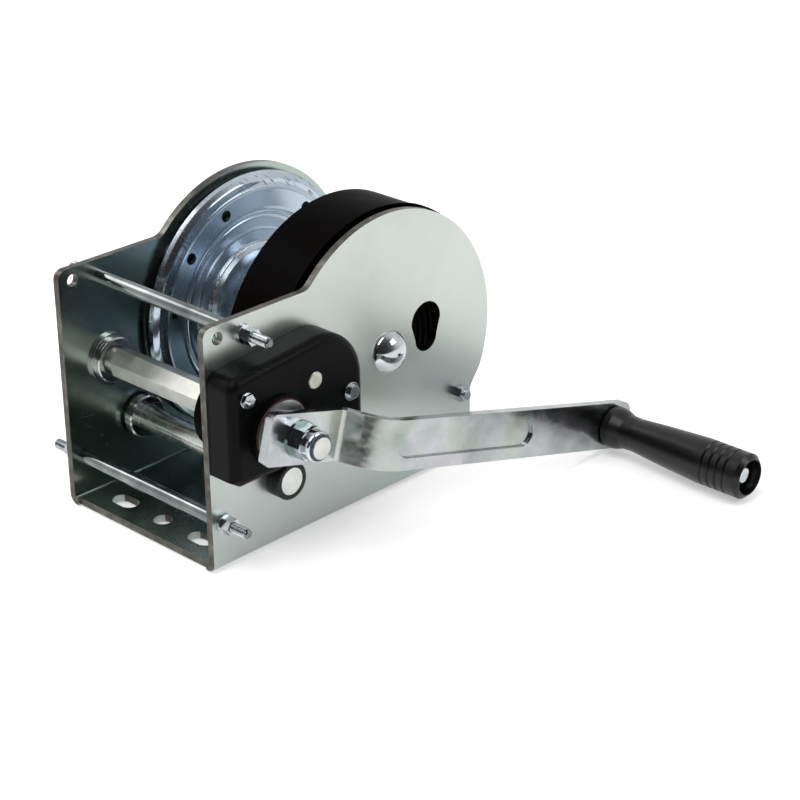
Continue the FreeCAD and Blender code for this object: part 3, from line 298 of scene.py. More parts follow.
def plate_zinc():
    """Rolled steel sheet, sheared and bent, then zinc plated and clear passivated.

    Satin, pale and a little green, with large soft clouds from the bath. It darkens
    towards the feet. The inside faces of the plates and the top of the base are painted
    a darker, greener zinc as painted shade, and are glossier. The sheared edges stay dark and brownish.
    """
    base = bpy.context.scene.winch_colours.plate
    material, tree, shader, place = plated(
        "zinc plated rolled sheet", ("#A6AEAA", "#B9BFBB", "#C8CDC9"), (0.24, 0.36), 95, 0.30,
        ((0.15, 0, 0), (1.1, 0, 0.1)), share=0.22, marks=0.03)
    facing = add(tree, "ShaderNodeNewGeometry").outputs["True Normal"]
    side = add(tree, "ShaderNodeSeparateXYZ", {0: facing})
    where = add(tree, "ShaderNodeSeparateXYZ", {0: place})
    low = add(tree, "ShaderNodeMapRange", {
        "Value": where.outputs[2], "From Min": 5 * MM, "From Max": 120 * MM,
        "To Min": 0.55, "To Max": 0.0})
    tone = source_of(shader, "Base Color")
    mixed = add(tree, "ShaderNodeMix", {0: 0.4, 6: tone, 7: list(base)}, data_type="RGBA")
    lower = add(tree, "ShaderNodeMix", {0: low, 6: mixed.outputs[2], 7: linear("#8E9799")},
                data_type="RGBA")
    inward = add(tree, "ShaderNodeMath", {0: side.outputs[0], 1: where.outputs[0]}, operation="MULTIPLY")
    inner = add(tree, "ShaderNodeMath", {0: inward, 1: -0.03}, operation="LESS_THAN")
    foot = add(tree, "ShaderNodeMath", {0: where.outputs[2], 1: 8 * MM}, operation="LESS_THAN")
    upward = add(tree, "ShaderNodeMath", {0: side.outputs[2], 1: 0.5}, operation="GREATER_THAN")
    base_top = add(tree, "ShaderNodeMath", {0: foot, 1: upward}, operation="MULTIPLY")
    inside = add(tree, "ShaderNodeMath", {0: inner, 1: base_top}, operation="MAXIMUM")
    # Painted shade: the inside faces of the plates and the top of the base are painted a darker, greener
    # zinc.
    inside_painted_shade = add(tree, "ShaderNodeMix", {0: inside, 6: lower.outputs[2], 7: linear("#A2B0A9")},
                  data_type="RGBA")
    across = add(tree, "ShaderNodeMath", {0: side.outputs[0]}, operation="ABSOLUTE")
    sheared = add(tree, "ShaderNodeMath", {0: across, 1: 0.6}, operation="LESS_THAN")
    above = add(tree, "ShaderNodeMath", {0: 1.0, 1: foot}, operation="SUBTRACT")
    fore = add(tree, "ShaderNodeMath", {0: side.outputs[1]}, operation="ABSOLUTE")
    ends = add(tree, "ShaderNodeMath", {0: fore, 1: 0.7}, operation="GREATER_THAN")
    cut = add(tree, "ShaderNodeMath", {
        0: sheared, 1: add(tree, "ShaderNodeMath", {0: above, 1: ends}, operation="MAXIMUM")},
        operation="MULTIPLY")
    burr = add(tree, "ShaderNodeTexNoise", {"Vector": place, "Scale": 1000 / 7, "Detail": 2.0})
    brown = add(tree, "ShaderNodeValToRGB", {"Fac": burr}, stops=[
        (0.35, "#45433F"), (0.55, "#55534E"), (0.75, "#6C6B66")])
    edged = add(tree, "ShaderNodeMix", {0: cut, 6: inside_painted_shade.outputs[2], 7: brown}, data_type="RGBA")
    feed(shader, "Base Color", edged.outputs[2])
    rough = source_of(shader, "Roughness")
    inside_gloss = add(tree, "ShaderNodeMath", {0: inside, 1: -0.08, 2: rough}, operation="MULTIPLY_ADD")
    feed(shader, "Roughness", inside_gloss)
    buckle = add(tree, "ShaderNodeTexNoise", {"Vector": place, "Scale": 1000 / 60, "Detail": 1.0})
    fine = source_of(shader, "Normal")
    rolled = add(tree, "ShaderNodeBump", {
        "Height": buckle, "Strength": 0.5, "Distance": 0.6 * MM, "Normal": fine})
    feed(shader, "Normal", rolled)
    return material


def drum_zinc():
    """Pressed sheet, blue-bright zinc plated and glossier than the frame.

    It has a shallow pressed dish, rings about its axis, and a rim that the rope has
    polished and marked.
    """
    base = bpy.context.scene.winch_colours.drum
    material, tree, shader, place = plated(
        "blue bright zinc on pressed sheet", ("#97A8B9", "#A9B7C4", "#C4CDD6"), (0.15, 0.22), 60, 0.32,
        ((0.5, 0, 0), (1.7, 0, 0)), share=0.22, marks=0.04)
    radius = radius_about(tree, place, DRUM_AXIS)
    across = add(tree, "ShaderNodeMapRange", {
        "Value": radius, "From Min": 40 * MM, "From Max": 92 * MM, "To Min": 0.0, "To Max": 1.0})
    pressing = add(tree, "ShaderNodeValToRGB", {"Fac": across}, stops=[
        (0.00, 0.0), (0.12, 0.02), (0.30, 0.34), (0.44, 0.78), (0.485, 0.84), (0.53, 0.62),
        (0.745, 0.60), (0.78, 0.76), (0.82, 0.62), (0.89, 0.95), (0.97, 0.70)])
    pressing.color_ramp.interpolation = "EASE"
    rings = turning_rings(tree, radius, 2.6)
    rim = add(tree, "ShaderNodeMapRange", {
        "Value": radius, "From Min": 80 * MM, "From Max": 83 * MM, "To Min": 0.0, "To Max": 1.0})
    rubs = scratches(tree, place, 0.6, 10, (0.9, 0.2, 0.3), 0.12)
    worn = add(tree, "ShaderNodeMath", {0: rim, 1: rubs}, operation="MULTIPLY")
    rough = source_of(shader, "Roughness")
    ringed = add(tree, "ShaderNodeMath", {0: rings, 1: 0.03, 2: rough}, operation="MULTIPLY_ADD")
    polished = add(tree, "ShaderNodeMath", {0: rim, 1: -0.07, 2: ringed}, operation="MULTIPLY_ADD")
    scuffed = add(tree, "ShaderNodeMath", {0: worn, 1: 0.2, 2: polished}, operation="MULTIPLY_ADD")
    feed(shader, "Roughness", scuffed)
    tint = add(tree, "ShaderNodeMix", {
        0: 0.35, 6: source_of(shader, "Base Color"), 7: list(base)},
        data_type="RGBA")
    dull = add(tree, "ShaderNodeMix", {0: worn, 6: tint.outputs[2], 7: linear("#7E848A")},
               data_type="RGBA")
    feed(shader, "Base Color", dull.outputs[2])
    fine = source_of(shader, "Normal")
    turned = add(tree, "ShaderNodeBump", {
        "Height": rings, "Strength": 0.06, "Distance": 0.05 * MM, "Normal": fine})
    pressed = add(tree, "ShaderNodeBump", {
        "Height": pressing, "Strength": 1.0, "Distance": 1.6 * MM, "Normal": turned})
    feed(shader, "Normal", pressed)
    return material


def rod_zinc():
    """Cold-drawn bar with a bright zinc layer: nearly a mirror, with drawing lines along it."""
    return plated("bright zinc on drawn bar", ("#5C6161", "#787D7D", "#969A99"), (0.05, 0.11), 26, 0.2,
                  (ALONG_X,), share=0.2, grain=0.02, marks=0.05)[0]


def arm_zinc():
    """Flat bar, bent and zinc plated, lightly mottled and dented all over.

    Its thin passivation film breaks into faint straw, green and violet.
    """
    material, tree, shader, place = plated(
        "passivated zinc on bent bar", ("#A2A7A5", "#BBBEBE", "#CFD1D2"), (0.09, 0.20), 30, 0.3,
        ((0.3, 0, 0), (1.2, 0, 0)), share=0.2, edge_mm=0.5, marks=0.06)
    film = add(tree, "ShaderNodeTexNoise", {
        "Vector": place, "Scale": 1000 / 42, "Detail": 3.0, "Roughness": 0.5, "Distortion": 0.9})
    hue = add(tree, "ShaderNodeValToRGB", {"Fac": film}, stops=[
        (0.30, "#D3D1BE"), (0.44, "#CFD8CF"), (0.55, "#D0D3DB"), (0.66, "#D3C9D6"), (0.78, "#C9D3D8")])
    tinted = add(tree, "ShaderNodeMix", {
        0: 0.55, 6: source_of(shader, "Base Color"), 7: hue},
        data_type="RGBA", blend_type="MULTIPLY")
    spots = add(tree, "ShaderNodeTexVoronoi", {"Vector": place, "Scale": 1000 / 3.2, "Randomness": 1.0})
    mottled = add(tree, "ShaderNodeMapRange", {
        "Value": spots, "From Min": 0.0, "From Max": 0.25, "To Min": 0.05, "To Max": 0.0})
    rough = source_of(shader, "Roughness")
    total = add(tree, "ShaderNodeMath", {0: mottled, 1: rough}, operation="ADD")
    feed(shader, "Roughness", total)
    feed(shader, "Base Color", tinted.outputs[2])
    wave = add(tree, "ShaderNodeTexNoise", {"Vector": place, "Scale": 1000 / 14, "Detail": 2.0})
    fine = source_of(shader, "Normal")
    dented = add(tree, "ShaderNodeBump", {
        "Height": wave, "Strength": 0.6, "Distance": 0.35 * MM, "Normal": fine})
    feed(shader, "Normal", dented)
    return material


def bolt_zinc():
    """Cold-headed nuts and bolts, bright zinc plated: shiny, with their corners rounded."""
    return plated("bright zinc on cold headed steel", ("#9DA3A8", "#B9BEC2", "#D2D5D8"), (0.07, 0.15), 7,
                  0.16, ((0.4, 0.2, 0.3),), share=0.2, edge_mm=0.4, grain=0.02, marks=0.05)[0]


def pin_nickel():
    """Pawl pin, ground and matt nickel plated: an even, slightly yellow silver."""
    return plated("matt nickel on ground pin", ("#B9B9AE", "#CDCDC4", "#DCDCD4"), (0.30, 0.42), 4, 0.2,
                  ((0.3, 0, 0), (1.4, 0, 0)), share=0.17, grain=0.08)[0]


def shaft_chrome():
    """Ground shaft with hard chrome: satin bright, with fine grinding lines across it."""
    return plated("hard chrome on ground shaft", ("#B4B8B5", "#C8CCC8", "#D8DBD8"), (0.20, 0.30), 20, 0.18,
                  ((0, 0, 0.02),), share=0.2, grain=0.02, marks=0.05)[0]


def hexagon_steel():
    """Cold-drawn hexagon bar, oiled and left bare: bright faces with drawing lines.

    Dark grit has gathered in the oil, thicker towards +X, but the journal by the right
    plate is clean.
    """
    material, tree, shader, place = plated(
        "bare drawn hexagon steel", ("#B4B6B0", "#C6C7C1", "#D6D7D1"), (0.30, 0.42), 16, 0.22,
        (ALONG_X,), share=0.2, edge_mm=0.5, marks=0.05)
    grit = add(tree, "ShaderNodeTexNoise", {
        "Vector": place, "Scale": 1000 / 1.5, "Detail": 4.0, "Roughness": 0.75})
    along = add(tree, "ShaderNodeSeparateXYZ", {0: place})
    gather = add(tree, "ShaderNodeMapRange", {
        "Value": along.outputs[0], "From Min": -40 * MM, "From Max": 45 * MM,
        "To Min": 0.80, "To Max": 0.60})
    journal = add(tree, "ShaderNodeMath", {0: along.outputs[0], 1: 50 * MM}, operation="GREATER_THAN")
    clean = add(tree, "ShaderNodeMath", {0: gather, 1: journal}, operation="ADD")
    over = add(tree, "ShaderNodeMath", {0: grit, 1: clean}, operation="SUBTRACT")
    speck = add(tree, "ShaderNodeMapRange", {
        "Value": over, "From Min": 0.0, "From Max": 0.04, "To Min": 0.0, "To Max": 0.85})
    dirty = add(tree, "ShaderNodeMix", {
        0: speck, 6: source_of(shader, "Base Color"), 7: linear("#2E2A26")},
        data_type="RGBA")
    feed(shader, "Base Color", dirty.outputs[2])
    rough = add(tree, "ShaderNodeMath", {
        0: speck, 1: 0.4, 2: source_of(shader, "Roughness")},
        operation="MULTIPLY_ADD")
    feed(shader, "Roughness", rough)
    return material


def gear_steel():
    """Hobbed gear steel, left bare and greased: darker and brownish, with cutter marks."""
    return plated("greased hobbed steel", ("#5F5B55", "#7E7B76", "#96938D"), (0.24, 0.42), 9, 0.25,
                  (ALONG_X, (0.6, 0, 0)), share=0.10, edge_mm=0.4)[0]


def disc_steel():
    """Brake disc, faced on a lathe and bright plated: fine rings about the crank's axis."""
    material, tree, shader, place = plated(
        "turned brake disc steel", ("#A9ACAE", "#C3C6C8", "#D8DADB"), (0.26, 0.38), 10, 0.2,
        ((0.5, 0, 0), (1.6, 0, 0)), share=0.18)
    rings = turning_rings(tree, radius_about(tree, place, CRANK_AXIS), 0.7)
    fine = source_of(shader, "Normal")
    turned = add(tree, "ShaderNodeBump", {
        "Height": rings, "Strength": 0.35, "Distance": 0.06 * MM, "Normal": fine})
    feed(shader, "Normal", turned)
    return material


def nut_chrome():
    """Large lock nut, chromed: a mirror with a cool cast, fine scratches and rounded corners."""
    return plated("cool chrome on forged nut", ("#A3ABB0", "#BCC2C6", "#D2D6D9"), (0.04, 0.10), 6, 0.18,
                  ((0.8, 0, 0.1),), share=0.21, edge_mm=0.8, grain=0.01, marks=0.04)[0]


def washer_teal():
    """Washer with a blue-green passivated zinc layer, thin enough to show its tint."""
    return plated("blue green passivated washer", ("#6E7F7A", "#8C9A96", "#A9B4B0"), (0.10, 0.20), 9, 0.18,
                  ((0.5, 0, 0),), share=0.2, grain=0.02, marks=0.05)[0]


def cap_chrome():
    """Pressed axle cap, chromed: a clean dome, nearly a mirror."""
    return plated("chrome on pressed cap", ("#A9AEB1", "#BEC3C6", "#D3D6D8"), (0.07, 0.13), 12, 0.15,
                  ((0.4, 0.3, 0),), share=0.22, grain=0.01, marks=0.03)[0]


def bush_steel():
    """Bearing bushes and the drum's hub, turned bright from bar and oiled."""
    return plated("turned bearing steel", ("#8D9291", "#A9AEAC", "#C2C6C4"), (0.10, 0.20), 9, 0.25,
                  ((0.3, 0, 0),), share=0.2, edge_mm=0.4)[0]


def moulded(name, base, tones, gloss, grain_mm, grain_depth, cloud_mm, dust, shine):
    """A moulded or painted surface: a fine grain, faint clouds of tone and pale rub marks.

    dust is how strongly the rub marks show, and shine the strength of the reflection.
    """
    material, tree, shader, place = start_material(name)
    cloud = add(tree, "ShaderNodeTexNoise", {
        "Vector": place, "Scale": 1000 / cloud_mm, "Detail": 4.0, "Roughness": 0.6})
    tone = add(tree, "ShaderNodeValToRGB", {"Fac": cloud}, stops=[(0.32, tones[0]), (0.70, tones[1])])
    mixed = add(tree, "ShaderNodeMix", {0: 0.5, 6: tone, 7: list(base)}, data_type="RGBA")
    grain = add(tree, "ShaderNodeTexNoise", {
        "Vector": place, "Scale": 1000 / grain_mm, "Detail": 3.0, "Roughness": 0.55})
    rubs = scratches(tree, place, 0.3, 12, (0.6, 0.3, 0.5), 0.19)
    film = add(tree, "ShaderNodeMath", {0: rubs, 1: dust}, operation="MULTIPLY")
    dusty = add(tree, "ShaderNodeMix", {0: film, 6: mixed.outputs[2], 7: linear("#77777A")},
                data_type="RGBA")
    even = add(tree, "ShaderNodeMapRange", {
        "Value": cloud, "From Min": 0.3, "From Max": 0.75, "To Min": gloss[0], "To Max": gloss[1]})
    rough = add(tree, "ShaderNodeMath", {0: grain, 1: 0.12, 2: even}, operation="MULTIPLY_ADD")
    bump = add(tree, "ShaderNodeBump", {
        "Height": grain, "Strength": 0.4, "Distance": grain_depth * MM})
    shader.inputs["Specular IOR Level"].default_value = shine
    feed(shader, "Base Color", dusty.outputs[2])
    feed(shader, "Roughness", rough)
    feed(shader, "Normal", bump)
    return material, tree, shader, place


def guard_paint():
    """Deep-drawn steel pan with a baked satin black paint, and draw rings near the drum's axis."""
    material, tree, shader, place = moulded(
        "baked black paint on drawn steel", bpy.context.scene.winch_colours.guard,
        ("#020101", "#050302"), (0.28, 0.38), 0.7, 0.03, 40, 0.06, 0.01)
    radius = radius_about(tree, place, DRUM_AXIS)
    ring_pitch = 5.2 * MM
    turns = add(tree, "ShaderNodeMath", {0: radius, 1: 2 * math.pi / ring_pitch}, operation="MULTIPLY")
    rings = add(tree, "ShaderNodeMath", {0: turns}, operation="SINE")
    inner = add(tree, "ShaderNodeMapRange", {
        "Value": radius, "From Min": 50 * MM, "From Max": 54 * MM, "To Min": 1.0, "To Max": 0.0})
    held = add(tree, "ShaderNodeMath", {0: rings, 1: inner}, operation="MULTIPLY")
    fine = source_of(shader, "Normal")
    drawn = add(tree, "ShaderNodeBump", {
        "Height": held, "Strength": 0.8, "Distance": 0.45 * MM, "Normal": fine})
    feed(shader, "Normal", drawn)
    return material


def housing_plastic():
    """Glass-filled nylon from a finely sparked tool: nearly black and satin, with soft sinks."""
    material, tree, shader, place = moulded(
        "moulded glass filled nylon", bpy.context.scene.winch_colours.housing,
        ("#050607", "#090A0A"), (0.24, 0.32), 0.6, 0.04, 30, 0.08, 0.06)
    sink = add(tree, "ShaderNodeTexNoise", {"Vector": place, "Scale": 1000 / 26, "Detail": 1.0})
    fine = source_of(shader, "Normal")
    sunk = add(tree, "ShaderNodeBump", {
        "Height": sink, "Strength": 0.25, "Distance": 0.5 * MM, "Normal": fine})
    # The two halves of the mould meet close to the plate, in a groove 1 mm wide.
    seam_x = HOUSING_BACK + 2 * MM
    along = add(tree, "ShaderNodeSeparateXYZ", {0: place})
    off_line = add(tree, "ShaderNodeMath", {0: along.outputs[0], 1: seam_x}, operation="SUBTRACT")
    beside = add(tree, "ShaderNodeMath", {0: off_line}, operation="ABSOLUTE")
    seam = add(tree, "ShaderNodeMapRange", {
        "Value": beside, "From Min": 0.1 * MM, "From Max": 0.5 * MM, "To Min": 0.0, "To Max": 1.0})
    parted = add(tree, "ShaderNodeBump", {
        "Height": seam, "Strength": 0.9, "Distance": 0.5 * MM, "Normal": sunk})
    feed(shader, "Normal", parted)
    return material


def grip_plastic():
    """Polypropylene grip from a polished tool: black, with faint flow lines and hand wear."""
    material, tree, shader, place = moulded(
        "polished black polypropylene", bpy.context.scene.winch_colours.grip,
        ("#060607", "#0C0C0D"), (0.22, 0.30), 0.5, 0.015, 22, 0.15, 0.32)
    flow = scratches(tree, place, 1.2, 40, ALONG_X, 0.03)
    fine = source_of(shader, "Normal")
    lined = add(tree, "ShaderNodeBump", {
        "Height": flow, "Strength": 0.10, "Distance": 0.05 * MM, "Normal": fine})
    feed(shader, "Normal", lined)
    return material


def bush_nylon():
    """Black nylon bearing ring: satin."""
    return moulded("turned black nylon", linear("#1A1A1B"), ("#0D0D0E", "#151516"),
                   (0.30, 0.40), 0.45, 0.04, 9, 0.2, 0.25)[0]


def lining_material():
    """Pressed brake lining, brass-flecked and reddish brown."""
    material, tree, shader, place = start_material("pressed friction lining")
    fleck = add(tree, "ShaderNodeTexNoise", {
        "Vector": place, "Scale": 1000 / 0.8, "Detail": 4.0, "Roughness": 0.8})
    tone = add(tree, "ShaderNodeValToRGB", {"Fac": fleck}, stops=[
        (0.35, "#321710"), (0.52, "#4A251B"), (0.66, "#5C3224"), (0.72, "#7A6038")])
    base = add(tree, "ShaderNodeMix", {
        0: 0.4, 6: tone, 7: list(bpy.context.scene.winch_colours.lining)}, data_type="RGBA")
    bump = add(tree, "ShaderNodeBump", {"Height": fleck, "Strength": 0.5, "Distance": 0.15 * MM})
    feed(shader, "Base Color", base.outputs[2])
    feed(shader, "Normal", bump)
    shader.inputs["Roughness"].default_value = 0.7
    return material


def weld_metal():
    """Electric weld run under the same zinc, in small patches of bright and dull."""
    return plated("zinc plated weld run", ("#8B9096", "#B4BABF", "#D3D7DA"), (0.16, 0.30), 3.2, 0.3,
                  ((0.5, 0, 0),), share=0.18, grain_mm=0.8)[0]


FINISHES = {
    plate_zinc: ("frame",),
    rod_zinc: ("top_tie_rod", "low_tie_rod"),
    drum_zinc: ("drum_core", "drum_flange_left", "drum_flange_right"),
    arm_zinc: ("crank_arm",),
    bolt_zinc: ("top_nut_left", "top_nut_right", "low_nut_left", "low_nut_right", "guard_bolt",
                "guard_nut", "housing_screw_front", "housing_screw_rear", "grip_bolt"),
    pin_nickel: ("pawl_pin",),
    shaft_chrome: ("layshaft", "drum_axle"),
    hexagon_steel: ("crank_shaft",),
    gear_steel: ("drum_gear", "layshaft_pinion", "layshaft_gear", "crank_pinion"),
    disc_steel: ("brake_disc",),
    nut_chrome: ("crank_nut",),
    washer_teal: ("crank_washer",),
    cap_chrome: ("dome_cap_left", "dome_cap_right"),
    bush_steel: ("drum_hub", "layshaft_bush_left", "crank_bush_left", "crank_bush_right"),
    guard_paint: ("gear_guard",),
    housing_plastic: ("brake_housing", "housing_collar"),
    grip_plastic: ("grip",),
    bush_nylon: ("layshaft_bush_right",),
}


# ---- modelling helpers ------------------------------------------------------

def clear_selection():
    """Leaves edit mode and deselects everything."""
    if bpy.context.object and bpy.context.object.mode != "OBJECT":
        bpy.ops.object.mode_set(mode="OBJECT")
    bpy.ops.object.select_all(action="DESELECT")


def use_modifier(piece, kind, **settings):
    """Adds a modifier and applies it."""
    modifier = piece.modifiers.new(kind.title(), kind)
    for name, value in settings.items():
        setattr(modifier, name, value)
    bpy.ops.object.modifier_apply(modifier=modifier.name)


def face_outward():
    """In edit mode, turns every face of the piece outward."""
    bpy.ops.mesh.select_all(action="SELECT")
    bpy.ops.mesh.normals_make_consistent(inside=False)


def start_disc(radius, vertices, x, axis):
    """Adds a flat disc facing along X, in edit mode with its face selected."""
    clear_selection()
    bpy.ops.mesh.primitive_circle_add(
        vertices=vertices, radius=radius, fill_type="NGON",
        location=(x, axis.y, axis.z), rotation=(0, math.pi / 2, 0))
    bpy.ops.object.transform_apply(location=True, rotation=True, scale=True)
    bpy.ops.object.mode_set(mode="EDIT")
    bpy.ops.mesh.select_mode(type="FACE")
    bpy.ops.mesh.select_all(action="SELECT")
    return bpy.context.object


def finish_piece(piece, name, body, material, smooth=35):
    """Puts the piece's place into its mesh, shades it, names it and lets it ride on its body."""
    if piece.mode != "OBJECT":
        bpy.ops.object.mode_set(mode="OBJECT")
    bpy.ops.object.transform_apply(location=True, rotation=True, scale=True)
    bpy.ops.object.shade_smooth_by_angle(angle=math.radians(smooth))
    piece.name = piece.data.name = name
    piece.data.materials.clear()
    piece.data.materials.append(material)
    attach(piece, body)
    piece.select_set(False)


def model_thread(name, sizes, start, end, axis):
    """A rolled screw thread along X: a three-sided crest, wound about the axis and closed at its ends."""
    pitch, steps = sizes.stud_pitch, 20
    crest = pitch * 0.52
    clear_selection()
    bpy.ops.mesh.primitive_circle_add(vertices=3, radius=crest, location=(0, 0, 0))
    piece = bpy.context.object
    bpy.ops.object.mode_set(mode="EDIT")
    bpy.ops.mesh.select_all(action="SELECT")
    bpy.ops.transform.translate(value=(start + pitch * 0.5, sizes.stud_radius, 0))
    bpy.ops.object.mode_set(mode="OBJECT")
    turns = max(1, int((end - start - pitch) / pitch))
    use_modifier(piece, "SCREW", axis="X", screw_offset=pitch, iterations=turns, steps=steps,
                 render_steps=steps, use_merge_vertices=True)
    bpy.ops.object.mode_set(mode="EDIT")
    bpy.ops.mesh.select_mode(type="VERT")
    bpy.ops.mesh.select_all(action="DESELECT")
    bpy.ops.mesh.select_non_manifold()
    bpy.ops.mesh.fill_holes(sides=3)
    face_outward()
    bpy.ops.object.mode_set(mode="OBJECT")
    piece.location = (0, axis[1], axis[2])
    material = bpy.data.materials["bright zinc on cold headed steel"]
    finish_piece(piece, name, "frame", material, 50)


# ---- operators --------------------------------------------------------------

class WINCH_OT_finishes(bpy.types.Operator):
    """Gives every solid of the winch its finish"""
    bl_idname = "winch.finishes"
    bl_label = "Finishes"

    def execute(self, context):
        done = set()
        for build, nodes in FINISHES.items():
            material = build()
            for name in nodes:
                NODES[name].data.materials.clear()
                NODES[name].data.materials.append(material)
                done.add(name)
        left = sorted(set(NODES) - done)
        if left:
            raise RuntimeError(f"no finish for {left}")
        return {"FINISHED"}


class WINCH_OT_threads(bpy.types.Operator):
    """Winds the screw threads on the studs of the tie rods and the guard bolt"""
    bl_idname = "winch.threads"
    bl_label = "Screw threads"

    def execute(self, context):
        sizes = context.scene.winch_parts
        into_nut, rod_tip, bolt_tip = 1 * MM, 0.4 * MM, 0.3 * MM
        for row in ("top", "low"):
            rod_low, rod_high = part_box(row + "_tie_rod")
            axis = (rod_low + rod_high) / 2
            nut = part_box(row + "_nut_right")[1].x
            model_thread(row + "_thread_right", sizes, nut - into_nut, rod_high.x - rod_tip, axis)
            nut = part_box(row + "_nut_left")[0].x
            model_thread(row + "_thread_left", sizes, rod_low.x + rod_tip, nut + into_nut, axis)
        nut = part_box("guard_nut")[1].x
        bolt_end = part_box("guard_bolt")[1].x
        model_thread("guard_thread", sizes, nut - into_nut, bolt_end - bolt_tip, middle("guard_nut"))
        return {"FINISHED"}


class WINCH_OT_welds(bpy.types.Operator):
    """Lays the rippled weld runs between the drum's core and its flanges"""
    bl_idname = "winch.welds"
    bl_label = "Weld runs"

    def execute(self, context):
        sizes = context.scene.winch_parts
        material = weld_metal()
        around_wire, ripple_every = 10, 3
        ripple_depth, unevenness, inset = 0.45 * MM, 0.28 * MM, 0.5 * MM
        core_low, core_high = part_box("drum_core")
        for name, x, seed in (("weld_left", core_low.x + inset, 3),
                              ("weld_right", core_high.x - inset, 8)):
            clear_selection()
            bpy.ops.mesh.primitive_torus_add(
                location=(x, DRUM_AXIS.y, DRUM_AXIS.z), rotation=(0, math.pi / 2, 0),
                major_radius=sizes.weld_radius, minor_radius=sizes.weld_size,
                major_segments=216, minor_segments=around_wire)
            piece = bpy.context.object
            for vertex in piece.data.vertices:
                section = vertex.index // around_wire
                vertex.select = section % ripple_every == seed % ripple_every
            for face in piece.data.polygons:
                face.select = False
            bpy.ops.object.mode_set(mode="EDIT")
            bpy.ops.mesh.select_mode(type="VERT")
            bpy.ops.transform.shrink_fatten(value=-ripple_depth)
            bpy.ops.mesh.select_all(action="SELECT")
            bpy.ops.transform.vertex_random(offset=unevenness, seed=seed)
            bpy.ops.mesh.normals_make_consistent(inside=False)
            bpy.ops.object.mode_set(mode="OBJECT")
            use_modifier(piece, "SUBSURF", levels=1, render_levels=1)
            finish_piece(piece, name, "drum", material, 80)
        return {"FINISHED"}


class WINCH_OT_ribs(bpy.types.Operator):
    """Presses the ring ribs of the drum's two flanges"""
    bl_idname = "winch.ribs"
    bl_label = "Flange ribs"

    def execute(self, context):
        material = bpy.data.materials["blue bright zinc on pressed sheet"]
        left_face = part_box("drum_core")[0].x
        right_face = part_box("drum_flange_right")[0].x
        # Name, face it stands on, which way it stands, radius, half width and height.
        for name, face, outward, radius, half_width, height in (
                ("rib_left_inner", left_face, 1, 64.6 * MM, 1.5 * MM, 0.9 * MM),
                ("rib_left_middle", left_face, 1, 56.0 * MM, 5.5 * MM, 1.3 * MM),
                ("rib_left_outer", left_face, 1, 79.6 * MM, 1.2 * MM, 1.0 * MM),
                ("rib_right_inner", right_face, -1, 64.6 * MM, 1.5 * MM, 0.9 * MM),
                ("rib_right_middle", right_face, -1, 56.0 * MM, 5.5 * MM, 1.3 * MM),
                ("rib_right_outer", right_face, -1, 86.6 * MM, 1.2 * MM, 1.2 * MM)):
            clear_selection()
            bpy.ops.mesh.primitive_torus_add(
                location=(0, 0, 0), rotation=(0, math.pi / 2, 0),
                major_radius=radius, minor_radius=half_width, major_segments=160, minor_segments=20)
            piece = bpy.context.object
            bpy.ops.object.transform_apply(location=True, rotation=True, scale=True)
            bpy.ops.object.mode_set(mode="EDIT")
            bpy.ops.mesh.select_all(action="SELECT")
            bpy.ops.transform.resize(value=(height / half_width, 1, 1), center_override=(0, 0, 0))
            bpy.ops.mesh.bisect(plane_co=(-0.1 * MM * outward, 0, 0), plane_no=(outward, 0, 0),
                                use_fill=True, clear_inner=True)
            bpy.ops.mesh.select_all(action="SELECT")
            bpy.ops.transform.translate(value=(face, DRUM_AXIS.y, DRUM_AXIS.z))
            bpy.ops.mesh.normals_make_consistent(inside=False)
            finish_piece(piece, name, "drum", material, 60)
        return {"FINISHED"}


class WINCH_OT_caps(bpy.types.Operator):
    """Models the pressed dome caps on the ends of the drum's axle"""
    bl_idname = "winch.caps"
    bl_label = "Axle caps"

    def execute(self, context):
        material = bpy.data.materials["chrome on pressed cap"]
        for name in ("dome_cap_left", "dome_cap_right"):
            low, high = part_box(name)
            centre, reach = (low + high) / 2, (high.y - low.y) / 2
            outward = 1 if centre.x > 0 else -1
            seat = low.x if outward > 0 else high.x
            height = high.x - low.x
            piece = start_disc(reach, 72, seat, centre)
            # Radius and height of each ring of the press tool, as shares of the cap's own.
            before = (1.0, 0.0)
            for step in ((1.0, 0.13), (0.965, 0.20), (0.90, 0.36), (0.78, 0.58), (0.62, 0.77),
                         (0.43, 0.90), (0.22, 0.975), (0.07, 0.998)):
                bpy.ops.mesh.extrude_region_move(TRANSFORM_OT_translate={
                    "value": (outward * height * (step[1] - before[1]), 0, 0)})
                share = step[0] / before[0]
                bpy.ops.transform.resize(
                    value=(1, share, share),
                    center_override=(seat + outward * height * step[1], centre.y, centre.z))
                before = step
            face_outward()
            finish_piece(piece, name.replace("dome_cap", "pressed_cap"), NODES[name]["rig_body"],
                         material, 50)
            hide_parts(name)
        return {"FINISHED"}


class WINCH_OT_lining(bpy.types.Operator):
    """Fits the brake lining whose edge shows between the housing's collar and the disc"""
    bl_idname = "winch.lining"
    bl_label = "Brake lining"

    def execute(self, context):
        sizes = context.scene.winch_parts
        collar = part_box("housing_collar")[1].x
        width, wall, rounding = 2.6 * MM, 0.4 * MM, 0.12 * MM
        inside_collar = 0.6 * MM
        clear_selection()
        bpy.ops.mesh.primitive_cylinder_add(
            vertices=96, radius=sizes.lining_radius, depth=width, end_fill_type="NOTHING",
            location=(collar - inside_collar, CRANK_AXIS.y, CRANK_AXIS.z), rotation=(0, math.pi / 2, 0))
        piece = bpy.context.object
        bpy.ops.object.mode_set(mode="EDIT")
        face_outward()
        bpy.ops.object.mode_set(mode="OBJECT")
        bpy.ops.object.transform_apply(location=True, rotation=True, scale=True)
        use_modifier(piece, "SOLIDIFY", thickness=wall, offset=-1.0)
        use_modifier(piece, "BEVEL", width=rounding, segments=2, limit_method="ANGLE")
        finish_piece(piece, "brake_lining", "frame", lining_material())
        return {"FINISHED"}


